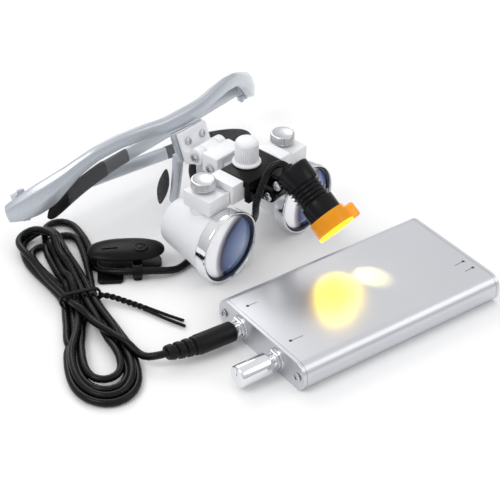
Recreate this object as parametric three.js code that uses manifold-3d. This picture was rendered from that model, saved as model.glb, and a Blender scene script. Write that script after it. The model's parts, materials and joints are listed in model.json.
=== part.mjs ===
// Dental loupes: half-rim spectacle frame, hinged magnifier barrels, clip-on headlight and battery pack.
// Millimetres, +Z up, the wearer looks along -Y and the wearer's left is +X.
// The frame stands on its lens edges and barrel rims with both temples folded behind the brow bar.
import * as THREE from 'three';
import { mergeVertices } from 'three/addons/utils/BufferGeometryUtils.js';
import Module from 'manifold-3d';

const wasm = await Module();
wasm.setup();

// ---------------------------------------------------------------- driving dimensions
const GAP = 0.3;                      // clearance between touching pieces
const SMALL_ROUND = 10;               // sides of screws, pins and their holes
const ROUND = 16;                     // sides of knuckles, knobs and sockets
const LARGE_ROUND = 26;               // sides of the barrels and the lamp
const BOX_CENTRE_SHIFT = 3.78;        // moves the whole object so that its origin is its bottom centre
const PUPIL_DISTANCE = 51.8;          // between the two barrel axes
const AXIS_HEIGHT = 17;               // barrel axes above the table
const RIM_RADIUS = 17;                // chrome rim of a barrel
const SCREW_BACK = 16.4;              // thumbscrew axis behind the rims
const KNOB_BACK = 14.6;               // clamp knob axis behind the rims
const RAIL = { y0: 7.6, y1: 12.6, z0: 35, z1: 38.6, half: 30 };
const FRONT_HINGE = { y: 28.4, z: 37.3 };
const BROW = { y: 54, z: 50, tilt: THREE.MathUtils.degToRad(22) };
const REAR_HINGE = { b: -10.9, v: -15.8 };       // in the spectacle frame's own axes
const KNUCKLE_RADIUS = 4;
const HINGE_HALF = 8.5;
const TEMPLE = {
  x: 70.5, b: 38.5, v: -13.5, length: 139, joiner: 84.5, sleeve: 99.8,
  lean: THREE.MathUtils.degToRad(3.6),
  fold: { right: THREE.MathUtils.degToRad(-91), left: THREE.MathUtils.degToRad(95) },
};
const LAMP = { y: -11.3, z: 51.2, dive: THREE.MathUtils.degToRad(36.4), radius: 7.8, length: 26 };
const LAMP_PIVOT = { y: -9.9, z: 44.9 };
const ARM_PIVOT = { y: -3.8, z: 36 };
const CORD_EXIT = { x: -2.4, z: 1 };
const BATTERY = { length: 106, width: 60, height: 13.3, wall: 1.3, corner: 5.6, plate: 1.6 };
const BATTERY_PLACE = { x: -63.1, y: -75, turn: THREE.MathUtils.degToRad(-11.8) };
const JACK_Y = 44;
const SWITCH_Y = 18.4;
const CLIP_PLACE = { x: -49.8, y: 41.7, turn: THREE.MathUtils.degToRad(-43) };
const CORD_DIAMETER = 3.3;

// ---------------------------------------------------------------- materials
function material(color, roughness, metalness, opacity = 1) {
  return new THREE.MeshStandardMaterial({ color, roughness, metalness, opacity, transparent: opacity < 1 });
}
const WHITE = () => material(0xeeeef2, 0.35, 0);
const BLACK = () => material(0x17171a, 0.5, 0);
const RUBBER = () => material(0x202022, 0.75, 0);
const SILVER_PAINT = () => material(0xb4bac4, 0.3, 0.6);
const STEEL = () => material(0xb9b9b4, 0.25, 1);
const CHROME = () => material(0xe2e4e8, 0.08, 1);
const ALUMINIUM = () => material(0xc4c6ca, 0.35, 1);
const CLEAR = () => material(0xf4f8ff, 0.05, 0, 0.25);
const COATED_GLASS = () => material(0x3c4c86, 0.05, 0, 0.7);
const ORANGE_FILTER = () => material(0xff9a10, 0.15, 0, 0.8);

// ---------------------------------------------------------------- solid helpers
// Shares the vertices of a closed geometry, drops faces without area and turns the faces outward.
function weld(geometry) {
  const bare = new THREE.BufferGeometry();
  bare.setAttribute('position', geometry.getAttribute('position').clone());
  if (geometry.index) bare.setIndex(geometry.index.clone());
  const merged = mergeVertices(bare, 1e-4);
  const index = merged.index.array;
  const kept = [];
  for (let i = 0; i < index.length; i += 3) {
    const [a, b, c] = [index[i], index[i + 1], index[i + 2]];
    if (a !== b && b !== c && c !== a) kept.push(a, b, c);
  }
  const p = merged.getAttribute('position');
  const [u, v, w] = [new THREE.Vector3(), new THREE.Vector3(), new THREE.Vector3()];
  let volume = 0;
  for (let i = 0; i < kept.length; i += 3) {
    u.fromBufferAttribute(p, kept[i]);
    v.fromBufferAttribute(p, kept[i + 1]);
    w.fromBufferAttribute(p, kept[i + 2]);
    volume += u.dot(v.cross(w));
  }
  if (volume < 0) kept.reverse();
  merged.setIndex(kept);
  return merged;
}

function toManifold(geometry) {
  const welded = weld(geometry);
  const vertProperties = new Float32Array(welded.getAttribute('position').array);
  const triVerts = new Uint32Array(welded.index.array);
  return new wasm.Manifold(new wasm.Mesh({ numProp: 3, vertProperties, triVerts }));
}

function fromManifold(body) {
  const result = body.getMesh();
  const geometry = new THREE.BufferGeometry();
  geometry.setAttribute('position', new THREE.BufferAttribute(new Float32Array(result.vertProperties), 3));
  geometry.setIndex([...result.triVerts]);
  return geometry;
}

function join(first, ...others) {
  return fromManifold(others.reduce((sum, other) => sum.add(toManifold(other)), toManifold(first)));
}

function cut(first, ...tools) {
  return fromManifold(tools.reduce((rest, tool) => rest.subtract(toManifold(tool)), toManifold(first)));
}

function block(x0, x1, y0, y1, z0, z1) {
  const geometry = new THREE.BoxGeometry(x1 - x0, y1 - y0, z1 - z0);
  return geometry.translate((x0 + x1) / 2, (y0 + y1) / 2, (z0 + z1) / 2);
}

function ordered(a, b) {
  return [Math.min(a, b), Math.max(a, b)];
}

// A block whose two ends along X come in either order, for parts mirrored left and right.
function between(ends, y0, y1, z0, z1) {
  return block(...ordered(...ends), y0, y1, z0, z1);
}

// Round bars along each axis: radius, the two ends, then the two other coordinates.
function rodX(radius, x0, x1, y, z, sides = ROUND) {
  const geometry = new THREE.CylinderGeometry(radius, radius, x1 - x0, sides);
  return geometry.rotateZ(Math.PI / 2).translate((x0 + x1) / 2, y, z);
}

function rodY(radius, y0, y1, x, z, sides = ROUND) {
  return new THREE.CylinderGeometry(radius, radius, y1 - y0, sides).translate(x, (y0 + y1) / 2, z);
}

function rodZ(radius, z0, z1, x, y, sides = ROUND) {
  const geometry = new THREE.CylinderGeometry(radius, radius, z1 - z0, sides);
  return geometry.rotateX(Math.PI / 2).translate(x, y, (z0 + z1) / 2);
}

// A profile of [radius, height] points turned about +Y; closed profiles repeat their first point.
function turned(profile, sides = LARGE_ROUND) {
  return weld(new THREE.LatheGeometry(profile.map(([r, h]) => new THREE.Vector2(r, h)), sides));
}

function turnedUp(profile, sides = LARGE_ROUND) {
  return turned(profile, sides).rotateX(Math.PI / 2);
}

// Presses shallow flutes into everything wider than the given radius.
function fluted(geometry, count, depth, fromRadius, low, high) {
  const p = geometry.getAttribute('position');
  for (let i = 0; i < p.count; i++) {
    const [x, y, z] = [p.getX(i), p.getY(i), p.getZ(i)];
    const radius = Math.hypot(x, y);
    if (radius < fromRadius || z < low || z > high) continue;
    const scale = 1 - (depth * 0.5 * (1 + Math.cos(count * Math.atan2(y, x)))) / radius;
    p.setXYZ(i, x * scale, y * scale, z);
  }
  return geometry;
}

// A closed solid through a list of rings that all have the same number of points.
function loft(rings) {
  const count = rings[0].length;
  const positions = rings.flat().flatMap((q) => [q.x, q.y, q.z]);
  const index = [];
  for (let r = 0; r + 1 < rings.length; r++) {
    for (let k = 0; k < count; k++) {
      const a = r * count + k;
      const b = r * count + ((k + 1) % count);
      index.push(a, b, b + count, a, b + count, a + count);
    }
  }
  const last = (rings.length - 1) * count;
  for (let k = 1; k + 1 < count; k++) {
    index.push(0, k + 1, k);
    index.push(last, last + k, last + k + 1);
  }
  const geometry = new THREE.BufferGeometry();
  geometry.setAttribute('position', new THREE.Float32BufferAttribute(positions, 3));
  geometry.setIndex(index);
  return weld(geometry);
}

// A flat outline extruded along +Z, with its bottom face at z.
function plateShape(shape, z, thickness, curveSegments = 4) {
  const options = { depth: thickness, bevelEnabled: false, curveSegments };
  return new THREE.ExtrudeGeometry(shape, options).translate(0, 0, z);
}

function roundedRectangle(x0, x1, y0, y1, radius) {
  const shape = new THREE.Shape();
  shape.moveTo(x0 + radius, y0);
  shape.lineTo(x1 - radius, y0);
  shape.absarc(x1 - radius, y0 + radius, radius, -Math.PI / 2, 0);
  shape.lineTo(x1, y1 - radius);
  shape.absarc(x1 - radius, y1 - radius, radius, 0, Math.PI / 2);
  shape.lineTo(x0 + radius, y1);
  shape.absarc(x0 + radius, y1 - radius, radius, Math.PI / 2, Math.PI);
  shape.lineTo(x0, y0 + radius);
  shape.absarc(x0 + radius, y0 + radius, radius, Math.PI, 1.5 * Math.PI);
  return shape;
}

function tube(points, diameter, steps, sides = 8) {
  const path = new THREE.CatmullRomCurve3(points.map((q) => new THREE.Vector3(...q)), false, 'centripetal');
  const section = new THREE.Shape();
  for (let k = 0; k < sides; k++) {
    const angle = (2 * Math.PI * (k + 0.5)) / sides;
    const [x, y] = [(diameter / 2) * Math.cos(angle), (diameter / 2) * Math.sin(angle)];
    if (k) section.lineTo(x, y);
    else section.moveTo(x, y);
  }
  return new THREE.ExtrudeGeometry(section, { steps, extrudePath: path, bevelEnabled: false });
}

const loupes = new THREE.Group();
loupes.position.y = BOX_CENTRE_SHIFT;

function add(name, geometry, surface, parent = loupes) {
  const shown = weld(geometry).toNonIndexed();
  shown.computeVertexNormals();
  const mesh = new THREE.Mesh(shown, surface);
  mesh.name = name;
  parent.add(mesh);
  return mesh;
}

const SIDES = [
  { side: 'right', sign: -1 },
  { side: 'left', sign: 1 },
];

// A cheese-head screw along +X, head at its low end.
function crossScrew(x0, x1, y, z, shank, head, headLength) {
  const body = join(
    rodX(shank, x0 + headLength - 0.05, x1, y, z, SMALL_ROUND),
    rodX(head, x0, x0 + headLength, y, z, SMALL_ROUND),
  );
  const slotDepth = headLength * 0.5;
  const slotHalf = head * 0.16;
  return cut(
    body,
    block(x0 - 1, x0 + slotDepth, y - head * 0.65, y + head * 0.65, z - slotHalf, z + slotHalf),
    block(x0 - 1, x0 + slotDepth, y - slotHalf, y + slotHalf, z - head * 0.65, z + head * 0.65),
  );
}

// ---------------------------------------------------------------- optics beam
function addBeam() {
  const stemHalf = 4.1;
  const centre = block(-19, 19, 5.4, 19.6, 33.6, 39.4);
  const cheeks = SIDES.map(({ sign }) => between([12.2 * sign, 19 * sign], 5.4, 19.6, 33.6, 43));
  const stem = block(-stemHalf, stemHalf, 19, FRONT_HINGE.y, 34.2, 39.6);
  const knuckle = rodX(KNUCKLE_RADIUS, -stemHalf, stemHalf, FRONT_HINGE.y, FRONT_HINGE.z);
  const railSlot = block(-20, 20, RAIL.y0 - GAP, RAIL.y1 + GAP, RAIL.z0 - GAP, RAIL.z1 + GAP);
  const studHole = rodZ(1.9, 38, 45, 0, KNOB_BACK);
  const pinHole = rodX(1.5, -6, 6, FRONT_HINGE.y, FRONT_HINGE.z);
  add('beam', cut(join(centre, ...cheeks, stem, knuckle), railSlot, studHole, pinHole), WHITE());

  const rail = block(-RAIL.half, RAIL.half, RAIL.y0, RAIL.y1, RAIL.z0, RAIL.z1);
  add('rail', rail, STEEL());
}

function addLampMount() {
  const top = block(-11.9, 11.9, 2.3, 19.3, 39.7, 43);
  const apron = block(-11.9, 11.9, 2.3, 5.1, 32.2, 43);
  const lugs = SIDES.flatMap(({ sign }) => {
    const [x0, x1] = ordered(3.1 * sign, 5.6 * sign);
    return [block(x0, x1, ARM_PIVOT.y, 2.5, 32.8, 39.2), rodX(3.2, x0, x1, ARM_PIVOT.y, ARM_PIVOT.z)];
  });
  const studHole = rodZ(1.9, 39, 44, 0, KNOB_BACK);
  const pivotHole = rodX(1.35, -7, 7, ARM_PIVOT.y, ARM_PIVOT.z);
  add('lamp_mount', cut(join(top, apron, ...lugs), studHole, pivotHole), BLACK());
  const pivot = crossScrew(-7.2, 5.9, ARM_PIVOT.y, ARM_PIVOT.z, 1.05, 2.1, 1.2);
  add('arm_screw_lower', pivot, STEEL());
}

function addClampKnob() {
  const profile = [[0, 43.3], [6.5, 43.3], [6.3, 44.3], [5.35, 44.8], [5.25, 53], [4.8, 54.2], [3.2, 55],
    [0, 55.4]];
  const cap = fluted(turnedUp(profile, 36), 18, 0.5, 4.9, 44.7, 53.5).translate(0, KNOB_BACK, 0);
  add('clamp_knob', join(cap, rodZ(1.6, 38.9, 43.6, 0, KNOB_BACK, SMALL_ROUND)), WHITE());
}

// ---------------------------------------------------------------- carriers, barrels and their optics
function addCarrier({ side, sign }) {
  const x = (PUPIL_DISTANCE / 2) * sign;
  const [inner, outer] = [19.3 * sign, 32 * sign];
  const body = between([inner, outer], 7, 22.6, 33, 40.3);
  const slotEnds = [inner - sign, (RAIL.half + 2 * GAP) * sign];
  const railSlot = between(slotEnds, RAIL.y0 - GAP, RAIL.y1 + GAP, RAIL.z0 - GAP, RAIL.z1 + GAP);
  const stepEdge = 22.6 * sign;
  const step = between([inner - sign, stepEdge], 7.5, 19, 39.4, 41);
  const screwHole = rodZ(1.9, 32, 41, x, SCREW_BACK);
  add(`carrier_${side}`, cut(body, railSlot, step, screwHole), WHITE());

  const profile = [[0, 41.6], [4.7, 41.6], [5.1, 42.1], [5.1, 45.4], [4.6, 45.9], [0, 45.6]];
  const head = fluted(turnedUp(profile, 48), 24, 0.4, 4.9, 42, 45.5).translate(x, SCREW_BACK, 0);
  const collar = rodZ(3.2, 40.6, 41.8, x, SCREW_BACK);
  const shank = rodZ(1.5, 30.6, 40.8, x, SCREW_BACK, SMALL_ROUND);
  add(`thumbscrew_${side}`, join(head, collar, shank), STEEL());
}

function addBarrel({ side, sign }) {
  const x = (PUPIL_DISTANCE / 2) * sign;
  const place = (geometry) => geometry.translate(x, 0, AXIS_HEIGHT);
  const shell = turned([[14, 6.3], [15.7, 6.3], [15.4, 9], [13.2, 20], [11.9, 28], [11.2, 31.6],
    [10.4, 33.2], [9.2, 34], [7.7, 34], [7.7, 30], [9.8, 26.4], [12, 16], [14, 6.3]]);
  const boss = rodZ(6, 13, 15.7, 0, SCREW_BACK);
  const screwHole = rodZ(1.9, 12.5, 17, 0, SCREW_BACK);
  add(`barrel_${side}`, place(cut(join(shell, boss), screwHole)), WHITE());

  const rim = [[15.3, 6], [16.6, 6], [RIM_RADIUS, 5.6], [RIM_RADIUS, 0.5], [16.6, 0], [16.1, 0], [15.9, 1.6],
    [15.6, 1.8], [15.3, 6]];
  add(`rim_${side}`, place(turned(rim)), CHROME());

  const objective = [[0, 1.2], [5, 1.35], [10, 1.8], [15, 2.6], [15, 4.6], [0, 4.6]];
  add(`objective_lens_${side}`, place(turned(objective)), COATED_GLASS());
  const eyepiece = [[0, 31], [7.3, 31], [7.3, 33], [4, 32.6], [0, 32.4]];
  add(`eyepiece_lens_${side}`, place(turned(eyepiece, ROUND)), COATED_GLASS());
}

// ---------------------------------------------------------------- link from the beam to the spectacle frame
const cosTilt = Math.cos(BROW.tilt);
const sinTilt = Math.sin(BROW.tilt);
const REAR_PIN = {
  y: BROW.y + REAR_HINGE.b * cosTilt + REAR_HINGE.v * sinTilt,
  z: BROW.z - REAR_HINGE.b * sinTilt + REAR_HINGE.v * cosTilt,
};

function addLink() {
  const eyeHalf = 4.2;
  const rearEye = rodX(KNUCKLE_RADIUS, -eyeHalf, eyeHalf, REAR_PIN.y, REAR_PIN.z);
  const neck = block(-eyeHalf, eyeHalf, 32.8, REAR_PIN.y, REAR_PIN.z - 3, REAR_PIN.z + 3.4);
  const web = block(-HINGE_HALF, HINGE_HALF, 32.8, 33.8, 34.2, 43.6);
  const cover = block(-HINGE_HALF, HINGE_HALF, 24.6, 33.8, 41.8, 43.6);
  const ears = SIDES.flatMap(({ sign }) => {
    const [x0, x1] = sign < 0 ? [-HINGE_HALF, -4.5] : [4.5, HINGE_HALF];
    return [
      rodX(KNUCKLE_RADIUS, x0, x1, FRONT_HINGE.y, FRONT_HINGE.z),
      block(x0, x1, FRONT_HINGE.y, 33.8, 34.2, 43.6),
      block(x0, x1, 24.6, FRONT_HINGE.y + 0.5, FRONT_HINGE.z, 43.6),
    ];
  });
  const holes = [
    rodX(1.5, -10, 10, FRONT_HINGE.y, FRONT_HINGE.z),
    rodX(1.5, -10, 10, REAR_PIN.y, REAR_PIN.z),
  ];
  add('link', cut(join(rearEye, neck, web, cover, ...ears), ...holes), WHITE());
  add('link_pin_front', crossScrew(-10, 8.9, FRONT_HINGE.y, FRONT_HINGE.z, 1.2, 2.2, 1.2), STEEL());
  add('link_pin_rear', crossScrew(-10, 8.9, REAR_PIN.y, REAR_PIN.z, 1.2, 2.2, 1.2), STEEL());
}

// ---------------------------------------------------------------- spectacle frame
const spectacles = new THREE.Group();
spectacles.position.set(0, BROW.y, BROW.z);
spectacles.rotation.x = -BROW.tilt;
loupes.add(spectacles);

// The brow line sweeps back and down towards the temples.
function browBack(x) {
  return 9 * (Math.abs(x) / 43) ** 2.46;
}

// Height of the bar's top and bottom edges, by distance from the middle.
const BROW_TOP = [[0, 3.9], [12, 4], [22, 5.2], [34, 5.6], [44, 4.3], [52, 1.8], [60, -1.3], [68, -4.2],
  [75, -7.6], [81, -11.5]];
const BROW_LOW = [[0, -4], [12, -2.9], [22, -1.4], [34, -0.8], [44, -2.2], [52, -5.4], [58, -10.2],
  [64, -15.4], [70, -18.2], [76, -19], [81, -17.6]];

// The bar's section: thickness across its front-to-back normal, then height, both as shares of one.
const BROW_SECTION = [[-0.55, 1], [0.35, 1], [1, 0.55], [1, -0.25], [0.45, -1], [-0.8, -1], [-1, -0.6],
  [-1, 0.6]];

// A table's value at a distance from the middle, part straight and part eased between its entries.
function along(table, x) {
  const a = Math.abs(x);
  let k = 0;
  while (k < table.length - 2 && table[k + 1][0] < a) k++;
  const [[x0, y0], [x1, y1]] = [table[k], table[k + 1]];
  const t = THREE.MathUtils.smoothstep(a, x0, x1);
  const straight = (a - x0) / (x1 - x0);
  return y0 + (y1 - y0) * (0.35 * t + 0.65 * straight);
}

function addBrowBar() {
  const halfWidth = 79;
  const steps = 28;
  const rings = [];
  for (let s = 0; s <= steps; s++) {
    const x = halfWidth * Math.sin(((s / steps) * 2 - 1) * (Math.PI / 2) * 0.999);
    const [top, low] = [along(BROW_TOP, x), along(BROW_LOW, x)];
    const slope = browBack(x + 0.5) - browBack(x - 0.5);
    const normal = new THREE.Vector2(slope, -1).normalize();
    const half = 1.9 + 0.8 * THREE.MathUtils.smoothstep(Math.abs(x), 45, 68);
    rings.push(BROW_SECTION.map(([out, up]) => new THREE.Vector3(
      x + normal.x * out * half,
      browBack(x) + normal.y * out * half,
      (top + low) / 2 + (up * (top - low)) / 2,
    )));
  }
  const bar = loft(rings);
  const lugs = SIDES.flatMap(({ sign }) => [4.1, -6.3].map((v) => {
    const x = TEMPLE.x * sign;
    const arm = between([x, x + 7 * sign], TEMPLE.b - 2.3, TEMPLE.b + 2.3, TEMPLE.v + v, TEMPLE.v + v + 2.2);
    return join(arm, rodZ(2.3, TEMPLE.v + v, TEMPLE.v + v + 2.2, x, TEMPLE.b));
  }));
  const pins = SIDES.map(({ sign }) => {
    const pin = join(rodZ(1, -7.4, 7.4, 0, 0, SMALL_ROUND), rodZ(1.7, 6.2, 7.2, 0, 0));
    return pin.rotateY(TEMPLE.lean).translate(TEMPLE.x * sign, TEMPLE.b, TEMPLE.v);
  });
  add('brow_bar', join(bar, ...lugs, ...pins), SILVER_PAINT(), spectacles);
}

// A clear lens: curved with the brow bar and leaning back at its lower edge.
function lensSheet(side) {
  const sign = side === 'left' ? 1 : -1;
  const [inner, outer, steps, rows] = [10.3, 58, 14, 3];
  const half = 1;
  const rings = [];
  for (let s = 0; s <= steps; s++) {
    const t = s / steps;
    const x = inner + (outer - inner) * t;
    const noseCut = 9 * Math.max(0, 1 - (x - inner) / 12) ** 2;
    const templeCut = 30 * Math.max(0, (x - 44) / 18) ** 2.2;
    const low = -49.2 + 0.42 * browBack(x) + noseCut * 1.6 + templeCut;
    const high = along(BROW_LOW, x) - 1.7;
    const front = [];
    const back = [];
    for (let r = 0; r <= rows; r++) {
      const v = low + (Math.max(high, low + 2) - low) * (r / rows);
      const b = browBack(x) + 0.1 * Math.max(0, -v) + 0.0022 * v * v;
      front.push(new THREE.Vector3(x * sign, b - half, v));
      back.push(new THREE.Vector3(x * sign, b + half, v));
    }
    rings.push([...front, ...back.reverse()]);
  }
  return loft(rings);
}

function addLenses() {
  for (const { side } of SIDES) add(`lens_${side}`, lensSheet(side), CLEAR(), spectacles);
}

// One leg of the nose piece, splayed outward and back towards its foot.
function noseLeg(sign, swell = 0) {
  const rings = [];
  for (let s = 0; s <= 6; s++) {
    const t = s / 6;
    const [x, b, v] = [sign * (7.6 + 2.2 * t * t), 1.5 + 11.5 * t, -15 - 24 * t];
    const [w, d] = [1.1 + swell, 3.4 - 0.6 * t + swell];
    rings.push([[-w, -d], [w, -d], [w, d], [-w, d]].map(([p, q]) => new THREE.Vector3(x + p, b + q, v)));
  }
  return loft(rings);
}

function addNoseBridge() {
  const saddle = block(-9.2, 9.2, -1.6, 1.6, -18.5, -4.4);
  const legs = SIDES.map(({ sign }) => noseLeg(sign));
  const screwHoles = SIDES.map(({ sign }) => rodY(1.15, -3, 3, 4.6 * sign, -9.8, SMALL_ROUND));
  add('nose_bridge', cut(join(saddle, ...legs), ...screwHoles), SILVER_PAINT(), spectacles);
  for (const { side, sign } of SIDES) {
    const rings = [];
    for (let s = 0; s <= 8; s++) {
      const t = s / 8;
      const swell = Math.sin(Math.PI * (0.08 + 0.84 * t));
      const [x, b, v] = [sign * (9.6 + 1.6 * t), 10.9 + 10 * t, -22 - 17 * t];
      const ring = [];
      for (let k = 0; k < 10; k++) {
        const a = (2 * Math.PI * k) / 10;
        ring.push(new THREE.Vector3(x + 1.5 * swell * Math.cos(a), b + 3.8 * swell * Math.sin(a), v));
      }
      rings.push(ring);
    }
    add(`nose_pad_${side}`, cut(loft(rings), noseLeg(sign, GAP)), RUBBER(), spectacles);
  }
}

function addBracketPlate() {
  const plate = block(-HINGE_HALF, HINGE_HALF, -4.4, -2.3, -19.4, -4.9);
  const lugs = SIDES.flatMap(({ sign }) => {
    const [x0, x1] = sign < 0 ? [-HINGE_HALF, -4.5] : [4.5, HINGE_HALF];
    return [
      block(x0, x1, REAR_HINGE.b, -4, REAR_HINGE.v - 3.6, REAR_HINGE.v + 2.4),
      rodX(KNUCKLE_RADIUS, x0, x1, REAR_HINGE.b, REAR_HINGE.v),
    ];
  });
  const pinHole = rodX(1.5, -10, 10, REAR_HINGE.b, REAR_HINGE.v);
  const screwHoles = SIDES.map(({ sign }) => rodY(1.15, -6, -1, 4.6 * sign, -9.8, SMALL_ROUND));
  add('bracket_plate', cut(join(plate, ...lugs), pinHole, ...screwHoles), WHITE(), spectacles);
  for (const { side, sign } of SIDES) {
    const screw = crossScrew(0, 6.3, 0, 0, 0.85, 1.7, 0.9).rotateZ(Math.PI / 2);
    add(`bracket_screw_${side}`, screw.translate(4.6 * sign, -5.6, -9.8), STEEL(), spectacles);
  }
}

const BLADE_SECTION = [[-1, -0.7], [-0.6, -1], [0.6, -1], [1, -0.7], [1, 0.7], [0.6, 1], [-0.6, 1],
  [-1, 0.7]];

// A folded temple: its own axes run along the open arm (+Y) from the hinge.
function addTemple({ side, sign }) {
  const leaning = new THREE.Group();
  leaning.position.set(TEMPLE.x * sign, TEMPLE.b, TEMPLE.v);
  leaning.rotation.y = TEMPLE.lean;
  spectacles.add(leaning);
  const folded = new THREE.Group();
  folded.rotation.z = TEMPLE.fold[side];
  leaning.add(folded);

  const drop = (r) => -0.065 * r - 0.0032 * Math.max(0, r - 95) ** 2;
  function blade(from, to, steps, height, thickness) {
    const rings = [];
    for (let s = 0; s <= steps; s++) {
      const t = s / steps;
      const r = from + (to - from) * t;
      const [h, w] = [height(t) / 2, thickness(t) / 2];
      rings.push(BLADE_SECTION.map(([p, q]) => new THREE.Vector3(p * w, r, drop(r) + q * h)));
    }
    return loft(rings);
  }
  const arm = blade(0.6, TEMPLE.joiner - GAP, 8, (t) => 6.6 - 0.4 * t, (t) => 2.6);
  const knuckle = rodZ(2.3, -3.6, 3.6, 0, 0);
  const pinHole = rodZ(1.3, -6, 6, 0, 0, SMALL_ROUND);
  add(`temple_${side}`, cut(join(arm, knuckle), pinHole), SILVER_PAINT(), folded);
  const joiner = blade(TEMPLE.joiner, TEMPLE.sleeve - GAP, 2, (t) => 6.3 + 0.5 * t, (t) => 3 + 0.4 * t);
  add(`temple_joiner_${side}`, joiner, material(0x55585e, 0.5, 0.2), folded);
  const sleeveHeight = (t) => 7.4 * Math.sqrt(Math.max(0.12, 1 - t ** 8));
  const sleeve = blade(TEMPLE.sleeve, TEMPLE.length, 10, sleeveHeight, (t) => 3.8 - t);
  add(`temple_sleeve_${side}`, sleeve, RUBBER(), folded);
}

// ---------------------------------------------------------------- headlight
function addLamp() {
  const arm = join(
    rodX(2.9, -2.7, 2.7, ARM_PIVOT.y, ARM_PIVOT.z),
    rodX(2.9, -2.7, 2.7, LAMP_PIVOT.y, LAMP_PIVOT.z),
    beamBetween(ARM_PIVOT, LAMP_PIVOT, 2.7, 2.1),
  );
  const armHoles = [ARM_PIVOT, LAMP_PIVOT].map((p) => rodX(1.35, -4, 4, p.y, p.z));
  add('lamp_arm', cut(arm, ...armHoles), BLACK());
  add('arm_screw_upper', crossScrew(-8.3, 6.6, LAMP_PIVOT.y, LAMP_PIVOT.z, 1.05, 2.1, 1.2), STEEL());

  const lamp = new THREE.Group();
  lamp.position.set(0, LAMP.y, LAMP.z);
  lamp.rotation.x = LAMP.dive;
  loupes.add(lamp);
  // In the lamp's own axes the light leaves along -Y, from its rear face at y = 0.
  const [dy, dz] = [LAMP_PIVOT.y - LAMP.y, LAMP_PIVOT.z - LAMP.z];
  const pivot = {
    y: dy * Math.cos(LAMP.dive) + dz * Math.sin(LAMP.dive),
    z: -dy * Math.sin(LAMP.dive) + dz * Math.cos(LAMP.dive),
  };
  const r = LAMP.radius;
  const outer = [[0, 0], [r - 0.6, 0], [r, -0.6], [r, -9.4]];
  for (let k = 0; k < 4; k++) {
    const y = -9.4 - 2.2 * k;
    outer.push([r - 0.9, y - 0.25], [r - 0.9, y - 0.95], [r, y - 1.2]);
  }
  outer.push([r, -LAMP.length - 5.4], [r - 1.3, -LAMP.length - 5.4], [r - 1.3, -14.4], [0, -14.4]);
  const slot = [
    block(-3.1, 3.1, pivot.y - 3.3, 2, -r - 2, pivot.z),
    rodX(3.3, -3.1, 3.1, pivot.y, pivot.z),
  ];
  const screwHole = rodX(1.3, -10, 10, pivot.y, pivot.z);
  const flatTop = pivot.z + 2.8;
  const flats = SIDES.map(({ sign }) => between([6.3 * sign, 9 * sign], pivot.y - 3.2, 2, -r - 2, flatTop));
  const glandProfile = [[0, -1], [2.9, -1], [2.9, 0.6], [2.5, 1.6], [0, 1.6]];
  const gland = turned(glandProfile, ROUND).translate(CORD_EXIT.x, 0, CORD_EXIT.z);
  const cableHole = rodY(CORD_DIAMETER / 2 + GAP, -1.6, 5, CORD_EXIT.x, CORD_EXIT.z, SMALL_ROUND);
  const body = cut(join(turned(outer), gland), ...slot, screwHole, ...flats, cableHole);
  add('lamp_body', body, BLACK(), lamp);

  const board = join(rodY(6.1, -16.3, -14.7, 0, 0), rodY(2, -17.6, -16.2, 0, 0));
  add('led_board', board, material(0xf2f2e6, 0.4, 0), lamp);
  const condenser = turned([[0, -28.9], [4, -28.5], [6.2, -27.4], [6.2, -25.6], [0, -25.6]]);
  add('condenser_lens', condenser, CLEAR(), lamp);

  const front = -LAMP.length - 7.6;
  const back = -LAMP.length + 0.8;
  const cap = turned([[0, front], [8.4, front], [8.7, front + 0.4], [8.7, back], [8.1, back],
    [8.1, front + 1.9], [0, front + 1.9]]);
  const tab = rodY(2.9, front + 0.2, front + 6, 8.1, 1.6);
  const bore = rodY(8.1, front + 1.9, 10, 0, 0);
  add('filter_cap', join(cap, cut(tab, bore)), ORANGE_FILTER(), lamp);
}

// A flat bar along X thickness between two pivots in the Y-Z plane.
function beamBetween(a, b, halfX, halfWidth) {
  const [dy, dz] = [b.y - a.y, b.z - a.z];
  const bar = block(-halfX, halfX, 0, Math.hypot(dy, dz), -halfWidth, halfWidth);
  return bar.rotateX(Math.atan2(dz, dy)).translate(0, a.y, a.z);
}

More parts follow.
